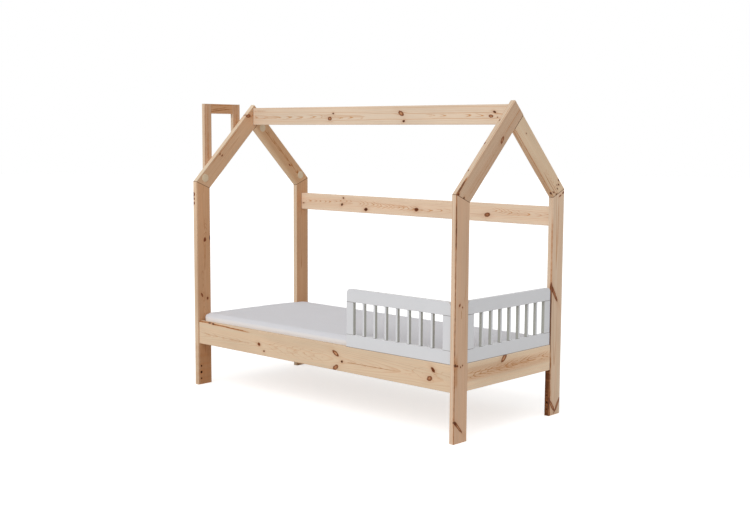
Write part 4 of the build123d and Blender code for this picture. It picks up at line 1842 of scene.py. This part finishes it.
@dataclass
class Fittings:
    """Bolts with saddle nuts, dowels, cover caps and wood screws."""

    rod_radius: float = 3.0 * MM
    rod_length: float = 56.0 * MM
    thread_pitch: float = 1.0 * MM
    thread_depth: float = 0.45 * MM
    thread_count: int = 16
    tip_ease: float = 0.4 * MM
    rod_sides: int = 20
    pocket_to_tip: float = 1.0 * MM
    saddle_radius: float = 15.8 * MM
    saddle_back: float = 8.8 * MM
    saddle_height: float = 12.0 * MM
    saddle_steps: int = 24
    nut_radius: float = 5.8 * MM
    nut_thickness: float = 5.0 * MM
    nut_ease: float = 0.6 * MM
    nut_sides: int = 6
    cap_radius: float = 20.0 * MM
    cap_height: float = 2.6 * MM
    cap_skirt_radius: float = 15.0 * MM
    cap_skirt_depth: float = 5.0 * MM
    cap_skirt_wall: float = 1.4 * MM
    cap_lip: float = 0.5 * MM
    cap_rim: float = 0.1 * MM
    cap_hollow: float = 0.2 * MM
    cap_dome: float = 0.55
    cap_steps: int = 9
    cap_sides: int = 56
    screw_radius: float = 4.2 * MM
    screw_height: float = 1.4 * MM
    screw_profile: tuple[tuple[float, float], ...] = ((1.0, 0.0), (0.97, 0.35), (0.82, 0.78), (0.66, 1.0))
    screw_sides: int = 20
    recess_arm: float = 0.5
    recess_half: float = 0.13
    recess_taper: float = 0.7
    recess_floor: float = 0.15
    ledge_screw_count: int = 7
    chimney_screw_lifts: tuple[float, ...] = (30.0 * MM, 75.0 * MM)

    def bolt_shape(self) -> Object:
        """Makes a bolt with its saddle nut, with the bolt's tip at the origin and Z out of it.

        Returns:
            The shape to copy.
        """
        profile = [(0.0, -self.rod_length), (self.rod_radius, -self.rod_length)]
        inner = self.rod_radius - self.thread_depth
        top = -self.tip_ease
        for i in range(self.thread_count, 0, -1):
            height = top - i * self.thread_pitch
            profile += [(inner, height), (self.rod_radius, height + self.thread_pitch / 2)]
        profile += [(inner, top), (inner - self.tip_ease, 0.0), (0.0, 0.0)]
        shape = lathe(profile, self.rod_sides)
        self.add_saddle(shape)
        self.add_nut(shape)
        return piece("bolt_shape", shape, smooth=25.0)

    def add_saddle(self, shape: BMesh) -> None:
        """Adds the half-moon saddle that spreads the nut's pull on the pocket's wall.

        Args:
            shape: shape to add it to.
        """
        half = math.acos((self.saddle_back - self.pocket_to_tip) / self.saddle_radius)
        outline = []
        for i in range(self.saddle_steps + 1):
            turn = -half + 2 * half * i / self.saddle_steps
            depth = -self.pocket_to_tip - self.saddle_radius * math.cos(turn)
            outline.append((self.saddle_radius * math.sin(turn), depth))
        reach = self.saddle_height / 2
        ends = [[shape.verts.new((x, y, z)) for y, z in outline] for x in (-reach, reach)]
        for ring in ends:
            shape.faces.new(ring)
        for i in range(len(outline)):
            j = (i + 1) % len(outline)
            shape.faces.new((ends[0][i], ends[0][j], ends[1][j], ends[1][i]))

    def add_nut(self, shape: BMesh) -> None:
        """Adds the hexagon nut with its rounded corners.

        Args:
            shape: shape to add it to.
        """
        ease = self.nut_ease
        low, high = -self.saddle_back, -self.saddle_back + self.nut_thickness
        profile = [
            (self.rod_radius, low),
            (self.nut_radius, low),
            (self.nut_radius, high - ease),
            (self.nut_radius - ease, high),
            (self.rod_radius, high),
        ]
        lathe(profile, self.nut_sides, shape)

    def bolt_seats(self) -> list[Seat]:
        """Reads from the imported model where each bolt's tip is and which way its pocket opens.

        Returns:
            A seat for each bolt.
        """
        nuts = [Vector(points.mean(0)) for points in loose_solids("saddle_nuts")]
        seats = []
        for points in loose_solids("connector_bolts"):
            middle = points.mean(0)
            way = np.linalg.svd(points - middle)[2][0]
            reach = np.abs((points - middle) @ way).max()
            ends = [Vector(middle + way * reach), Vector(middle - way * reach)]
            tip, root = sorted(ends, key=lambda end: min((end - nut).length for nut in nuts))
            outward = (tip - root).normalized()
            opening = Vector((0, 1, 0)) if abs(outward.x) > 0.5 else Vector((1, 0, 0))
            seats.append(Seat(tip, outward, opening))
        return seats

    def bolts(self, steel: Material) -> None:
        """Builds the bolts and nuts that stand for the plain ones."""
        made = SetCopies().lay("bolts_and_saddle_nuts", self.bolt_seats(), self.bolt_shape(), steel)
        settle(made, Body.FRAME, Slot.STEEL, "connector_bolts", "saddle_nuts")

    def cap_shape(self) -> Object:
        """Makes a domed cap with its skirt, seated on the plane of its own origin.

        Returns:
            The shape to copy.
        """
        skirt, wall, lip = self.cap_skirt_radius, self.cap_skirt_wall, self.cap_lip
        profile = [
            (0.0, self.cap_hollow),
            (skirt - wall, 0.0),
            (skirt - wall, -self.cap_skirt_depth),
            (skirt, -self.cap_skirt_depth),
            (skirt, 0.0),
            (self.cap_radius - lip, 0.0),
            (self.cap_radius, lip),
        ]
        rise = self.cap_height - lip
        for i in range(1, self.cap_steps + 1):
            turn = math.pi / 2 * i / self.cap_steps
            share = math.cos(turn) ** self.cap_dome if i < self.cap_steps else 0.0
            profile.append((self.cap_radius * share, lip + rise * math.sin(turn)))
        return piece("cap_shape", lathe(profile, self.cap_sides), smooth=35.0)

    def cap_seats(self) -> list[Seat]:
        """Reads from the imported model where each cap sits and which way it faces.

        Returns:
            A seat for each cap.
        """
        seats = []
        for points in loose_solids("cover_caps"):
            low, high = points.min(0), points.max(0)
            axis = int(np.argmin(high - low))
            middle = (low + high) / 2
            spread = np.linalg.norm(np.delete(points - middle, axis, 1), axis=1)
            rim = points[spread > spread.max() - self.cap_rim][:, axis]
            way = 1.0 if rim.mean() > middle[axis] else -1.0
            outward = Vector([way if i == axis else 0.0 for i in range(3)])
            place = Vector(middle)
            place[axis] = rim.min() if way > 0 else rim.max()
            seats.append(Seat(place, outward, Vector((0, 0, 1))))
        return seats

    def caps(self) -> None:
        """Builds the domed caps that stand for the plain ones."""
        plastic = CapFinish().material()
        made = SetCopies().lay("domed_caps", self.cap_seats(), self.cap_shape(), plastic)
        settle(made, Body.FRAME, Slot.CAPS, "cover_caps")

    def screw_shape(self) -> Object:
        """Makes the head of a wood screw with a cross recess, seated on the plane of its own origin.

        Returns:
            The shape to copy.
        """
        rise = self.screw_height
        profile = [(self.screw_radius * share, rise * lift) for share, lift in self.screw_profile]
        shape = lathe(profile, self.screw_sides)
        rim = list(shape.verts)[-self.screw_sides:]
        arm, half = self.recess_arm * self.screw_radius, self.recess_half * self.screw_radius
        quarter = [(arm, -half), (arm, half), (half, half)]
        mouth, floor = [], []
        for turn in range(4):
            spin = Matrix.Rotation(turn * math.pi / 2, 2)
            for corner in quarter:
                x, y = spin @ Vector(corner)
                sunk = (self.recess_taper * x, self.recess_taper * y, self.recess_floor * rise)
                mouth.append(shape.verts.new((x, y, rise)))
                floor.append(shape.verts.new(sunk))
        for i in range(len(mouth)):
            j = (i + 1) % len(mouth)
            shape.faces.new((mouth[i], mouth[j], floor[j], floor[i]))
        shape.faces.new(floor)
        loops = [rim, mouth]
        edges = [shape.edges.get((loop[i - 1], loop[i])) for loop in loops for i in range(len(loop))]
        bmesh.ops.triangle_fill(shape, use_beauty=True, edges=edges)
        return piece("screw_shape", shape, smooth=50.0)

    def screw_seats(self) -> Iterable[Seat]:
        """Gives the screws of the ledges, the first and last slats, and the chimney.

        Returns:
            A seat for each screw.
        """
        up, aside = Vector((0, 0, 1)), Vector((1, 0, 0))
        for side, way in (("front", 1.0), ("rear", -1.0)):
            low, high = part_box(f"slat_ledge_{side}")
            face = high.y if way > 0 else low.y
            for i in range(self.ledge_screw_count):
                share = (i + 0.5) / self.ledge_screw_count
                place = Vector((low.x + (high.x - low.x) * share, face, (low.z + high.z) / 2))
                yield Seat(place, Vector((0, way, 0)), up)
            for slat in (SLATS[0], SLATS[-1]):
                start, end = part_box(slat)
                yield Seat(Vector(((start.x + end.x) / 2, (low.y + high.y) / 2, end.z)), up, aside)
        for side in ("front", "rear"):
            low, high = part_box(f"chimney_stile_{side}")
            for lift in self.chimney_screw_lifts:
                place = Vector((low.x, (low.y + high.y) / 2, low.z + lift))
                yield Seat(place, Vector((-1, 0, 0)), up)

    def screws(self, steel: Material) -> None:
        """Builds the wood screws.

        Args:
            steel: finish of the screws.
        """
        seats = list(self.screw_seats())
        made = SetCopies().lay("wood_screws", seats, self.screw_shape(), steel, spin=math.tau)
        settle(made, Body.FRAME, Slot.STEEL)

    def build(self, steel: Material) -> None:
        """Builds and dresses every fitting.

        Args:
            steel: finish of the bolts and screws.
        """
        beech = BeechFinish().material()
        for node in ("dowels", "guard_dowels"):
            dress(node, beech)
        self.bolts(steel)
        self.caps()
        self.screws(steel)


@dataclass
class Mattress:
    """The mattress: a foam slab in a knitted cover, with a sewn seam low on its sides."""

    node: str = "mattress"
    shrink: float = 0.5 * MM
    voxel: float = 8.0 * MM
    pressure: float = 4.0
    frames: int = 20
    swell_cap: float = 4.0 * MM
    slack: float = 1.5 * MM
    rear_sag: float = 12.0 * MM
    sag_power: int = 4
    head_bulge: float = 8.0 * MM
    bulge_rise: float = 20.0 * MM
    bulge_span: float = 40.0 * MM
    seam_lift: float = 30.0 * MM
    seam_corner: float = 60.0 * MM
    corner_steps: int = 8
    seam_step: float = 12.0 * MM
    welt_radius: float = 1.3 * MM
    stitch_pitch: float = 7.0 * MM
    stitch_length: float = 4.6 * MM
    thread_radius: float = 0.45 * MM

    def slab(self) -> Object:
        """Makes the foam slab, slightly small, as an even grid of faces.

        Returns:
            The slab.
        """
        low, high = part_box(self.node)
        middle, size = (low + high) / 2, high - low
        shape = bmesh.new()
        shape.from_mesh(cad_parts[self.node].data)
        bmesh.ops.remove_doubles(shape, verts=shape.verts, dist=MERGE_GAP)
        shrunk = Matrix.Diagonal([*(1 - 2 * self.shrink / side for side in size), 1.0])
        shrunk = Matrix.Translation(middle) @ shrunk @ Matrix.Translation(-middle)
        bmesh.ops.transform(shape, matrix=shrunk, verts=shape.verts)
        made = piece("padded_mattress", shape, smooth=180.0)
        remesh = made.modifiers.new("even_grid", "REMESH")
        remesh.mode = "VOXEL"
        remesh.voxel_size = self.voxel
        made.data = evaluated_mesh(made)
        made.modifiers.clear()
        return made

    def swell(self, made: Object) -> None:
        """Lets the cover swell over the foam, with a cap on how far a point moves outwards.

        Args:
            made: the slab.
        """
        rest = np.array([vert.co for vert in made.data.vertices])
        normals = np.array([vert.normal for vert in made.data.vertices])
        cloth = made.modifiers.new("swell", "CLOTH")
        cloth.settings.use_pressure = True
        cloth.settings.uniform_pressure_force = self.pressure
        cloth.settings.effector_weights.gravity = 0.0
        cloth.point_cache.frame_start = 1
        cloth.point_cache.frame_end = self.frames
        for step in range(1, self.frames + 1):
            bpy.context.scene.frame_set(step)
        moved = np.array([vert.co for vert in evaluated_mesh(made).vertices])
        made.modifiers.clear()
        bpy.context.scene.frame_set(1)
        rise = np.clip(((moved - rest) * normals).sum(1, keepdims=True), 0.0, self.swell_cap)
        made.data.vertices.foreach_set("co", (rest + normals * rise).astype(np.float32).ravel())

    def seat(self, made: Object) -> None:
        """Keeps the cover in its own space, flat on the slats, lower at the rear and over the end rail.

        Args:
            made: the swelled slab.
        """
        low, high = (np.array(corner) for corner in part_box(self.node))
        give = np.array((self.slack, self.slack, 0.0))
        points = np.array([vert.co for vert in made.data.vertices])
        points = np.clip(points, low - give, high + give + (0.0, 0.0, self.swell_cap))
        share = (points - low) / (high - low)
        rear = np.clip(share[:, 1], 0.0, 1.0) ** self.sag_power
        points[:, 2] -= self.rear_sag * rear * share[:, 2]
        above = np.clip((points[:, 2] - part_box("end_rail_head")[1].z) / self.bulge_rise, 0.0, 1.0)
        near = np.clip((low[0] - points[:, 0]) / self.bulge_span + 1.0, 0.0, 1.0)
        points[:, 0] -= self.head_bulge * above * near
        made.data.vertices.foreach_set("co", points.astype(np.float32).ravel())
        made.data.update()
        made.data.shade_smooth()

    def seam_line(self, made: Object) -> list[Vector]:
        """Finds the line round the cover's sides that the seam follows.

        Args:
            made: the seated mattress.

        Returns:
            Points along the line.
        """
        low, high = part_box(self.node)
        height = low.z + self.seam_lift
        radius = self.seam_corner
        tree = BVHTree.FromObject(made, bpy.context.evaluated_depsgraph_get())
        rays = []
        corners = [
            (Vector((high.x - radius, high.y - radius)), 0.0),
            (Vector((low.x + radius, high.y - radius)), 90.0),
            (Vector((low.x + radius, low.y + radius)), 180.0),
            (Vector((high.x - radius, low.y + radius)), 270.0),
        ]
        for i, (corner, start) in enumerate(corners):
            for step in range(self.corner_steps + 1):
                turn = math.radians(start + 90.0 * step / self.corner_steps)
                rays.append((corner, Vector((math.cos(turn), math.sin(turn)))))
            ahead = corners[(i + 1) % 4][0]
            count = int((ahead - corner).length / self.seam_step)
            for step in range(1, count):
                rays.append((corner.lerp(ahead, step / count), rays[-1][1]))
        line = []
        for base, way in rays:
            start = Vector((*(base + way * 4 * radius), height))
            hit = tree.ray_cast(start, Vector((*-way, 0.0)))[0]
            line.append(hit)
        return line

    def seam(self, made: Object) -> None:
        """Sews the seam.

        Args:
            made: the seated mattress.
        """
        thread = THREAD.material()
        start = line_object("mattress_seam", self.seam_line(made), closed=True)
        inputs = {
            "Welt Radius": self.welt_radius,
            "Stitch Pitch": self.stitch_pitch,
            "Stitch Length": self.stitch_length,
            "Thread Radius": self.welt_radius + self.thread_radius,
            "Finish": thread,
        }
        settle(SewnSeam().grow(start, inputs), Body.MATTRESS, Slot.COVER)

    def build(self) -> None:
        """Builds the mattress that stands for the plain one."""
        made = self.slab()
        self.swell(made)
        self.seat(made)
        made.data.materials.clear()
        made.data.materials.append(COVER.material())
        settle(made, Body.MATTRESS, Slot.COVER, self.node)
        self.seam(made)


@dataclass
class Studio:
    """Floor, light and camera."""

    floor_radius: float = 30.0
    floor_sides: int = 64
    floor_tint: Colour = (0.86, 0.86, 0.86)
    floor_glow: float = 0.58
    fill: float = 0.48
    key: float = 1.25
    key_from: tuple[float, float, float] = (0.09, -0.28, 0.25)
    key_angle: float = 50.0
    camera_place: tuple[float, float, float] = (3.78188, -4.03056, 1.2718)
    camera_yaw: float = 42.80
    camera_pitch: float = -6.36
    camera_roll: float = 0.29
    camera_lens: float = 55.988
    camera_sensor: float = 36.0

    def seen(self, w: Wiring) -> Socket:
        """Gives 1 for rays that show the backdrop: from the camera, or by way of gloss or glass.

        Args:
            w: wiring of the material or world.

        Returns:
            The mask.
        """
        path = w.node("ShaderNodeLightPath").outputs
        gloss = w.math("MAXIMUM", path["Is Camera Ray"], path["Is Glossy Ray"])
        return w.math("MAXIMUM", gloss, path["Is Transmission Ray"])

    def floor(self) -> None:
        """Builds the pale floor, which shows its shadow but is clear from below."""
        shape = bmesh.new()
        bmesh.ops.create_circle(shape, cap_ends=True, segments=self.floor_sides, radius=self.floor_radius)
        made = piece("studio_floor", shape)
        cover = bpy.data.materials.new("studio_floor")
        cover.use_nodes = True
        cover.node_tree.nodes.clear()
        w = Wiring(cover.node_tree)
        matt = w.out("ShaderNodeBsdfDiffuse", {"Color": rgba(self.floor_tint)})
        shine = w.math("MULTIPLY", self.seen(w), self.floor_glow)
        glow = w.out("ShaderNodeEmission", {"Strength": shine})
        top = w.out("ShaderNodeAddShader", {0: matt, 1: glow})
        clear = w.out("ShaderNodeBsdfTransparent")
        below = w.node("ShaderNodeNewGeometry").outputs["Backfacing"]
        both = w.out("ShaderNodeMixShader", {0: below, 1: top, 2: clear})
        w.node("ShaderNodeOutputMaterial", {"Surface": both})
        made.data.materials.append(cover)
        log.info("laid %s", made.name)

    def world(self) -> None:
        """Lights the room evenly, with a white backdrop."""
        world = bpy.data.worlds.new("studio")
        bpy.context.scene.world = world
        world.use_nodes = True
        world.node_tree.nodes.clear()
        w = Wiring(world.node_tree)
        soft = w.out("ShaderNodeBackground", {"Color": rgba(WHITE), "Strength": self.fill})
        white = w.out("ShaderNodeBackground", {"Color": rgba(WHITE), "Strength": 1.0})
        both = w.out("ShaderNodeMixShader", {0: self.seen(w), 1: soft, 2: white})
        w.node("ShaderNodeOutputWorld", {"Surface": both})

    def key_light(self) -> None:
        """Hangs the broad key light."""
        lamp = bpy.data.lights.new("key_light", "SUN")
        lamp.energy = self.key
        lamp.angle = math.radians(self.key_angle)
        made = add_object("key_light", lamp)
        made.rotation_mode = "QUATERNION"
        made.rotation_quaternion = Vector(self.key_from).to_track_quat("Z", "Y")

    def camera(self) -> None:
        """Sets the camera at the photograph's view."""
        yaw, pitch, roll = (math.radians(a) for a in (self.camera_yaw, self.camera_pitch, self.camera_roll))
        ahead = Vector((-math.sin(yaw) * math.cos(pitch), math.cos(yaw) * math.cos(pitch), math.sin(pitch)))
        level = Vector((math.cos(yaw), math.sin(yaw), 0.0))
        up = level.cross(ahead)
        right = level * math.cos(roll) + up * math.sin(roll)
        top = up * math.cos(roll) - level * math.sin(roll)
        lens = bpy.data.cameras.new("photo_view")
        lens.lens = self.camera_lens
        lens.sensor_width = self.camera_sensor
        made = add_object("photo_view", lens)
        turned = Matrix((right, top, -ahead)).transposed().to_4x4()
        made.matrix_world = Matrix.Translation(self.camera_place) @ turned
        bpy.context.scene.camera = made

    def build(self) -> None:
        """Builds the studio."""
        bpy.context.scene.view_settings.view_transform = "Standard"
        self.floor()
        self.world()
        self.key_light()
        self.camera()


def main() -> None:
    """Builds the bed's looks piece by piece."""
    logging.basicConfig(level=logging.INFO, format="%(name)s: %(message)s")
    Studio().build()
    HouseFrame().build()
    Chimney().build()
    Guards().build()
    steel = SteelFinish().material()
    SlatBase().build(steel)
    Fittings().build(steel)
    Mattress().build()


if __name__ == "__main__":
    main()
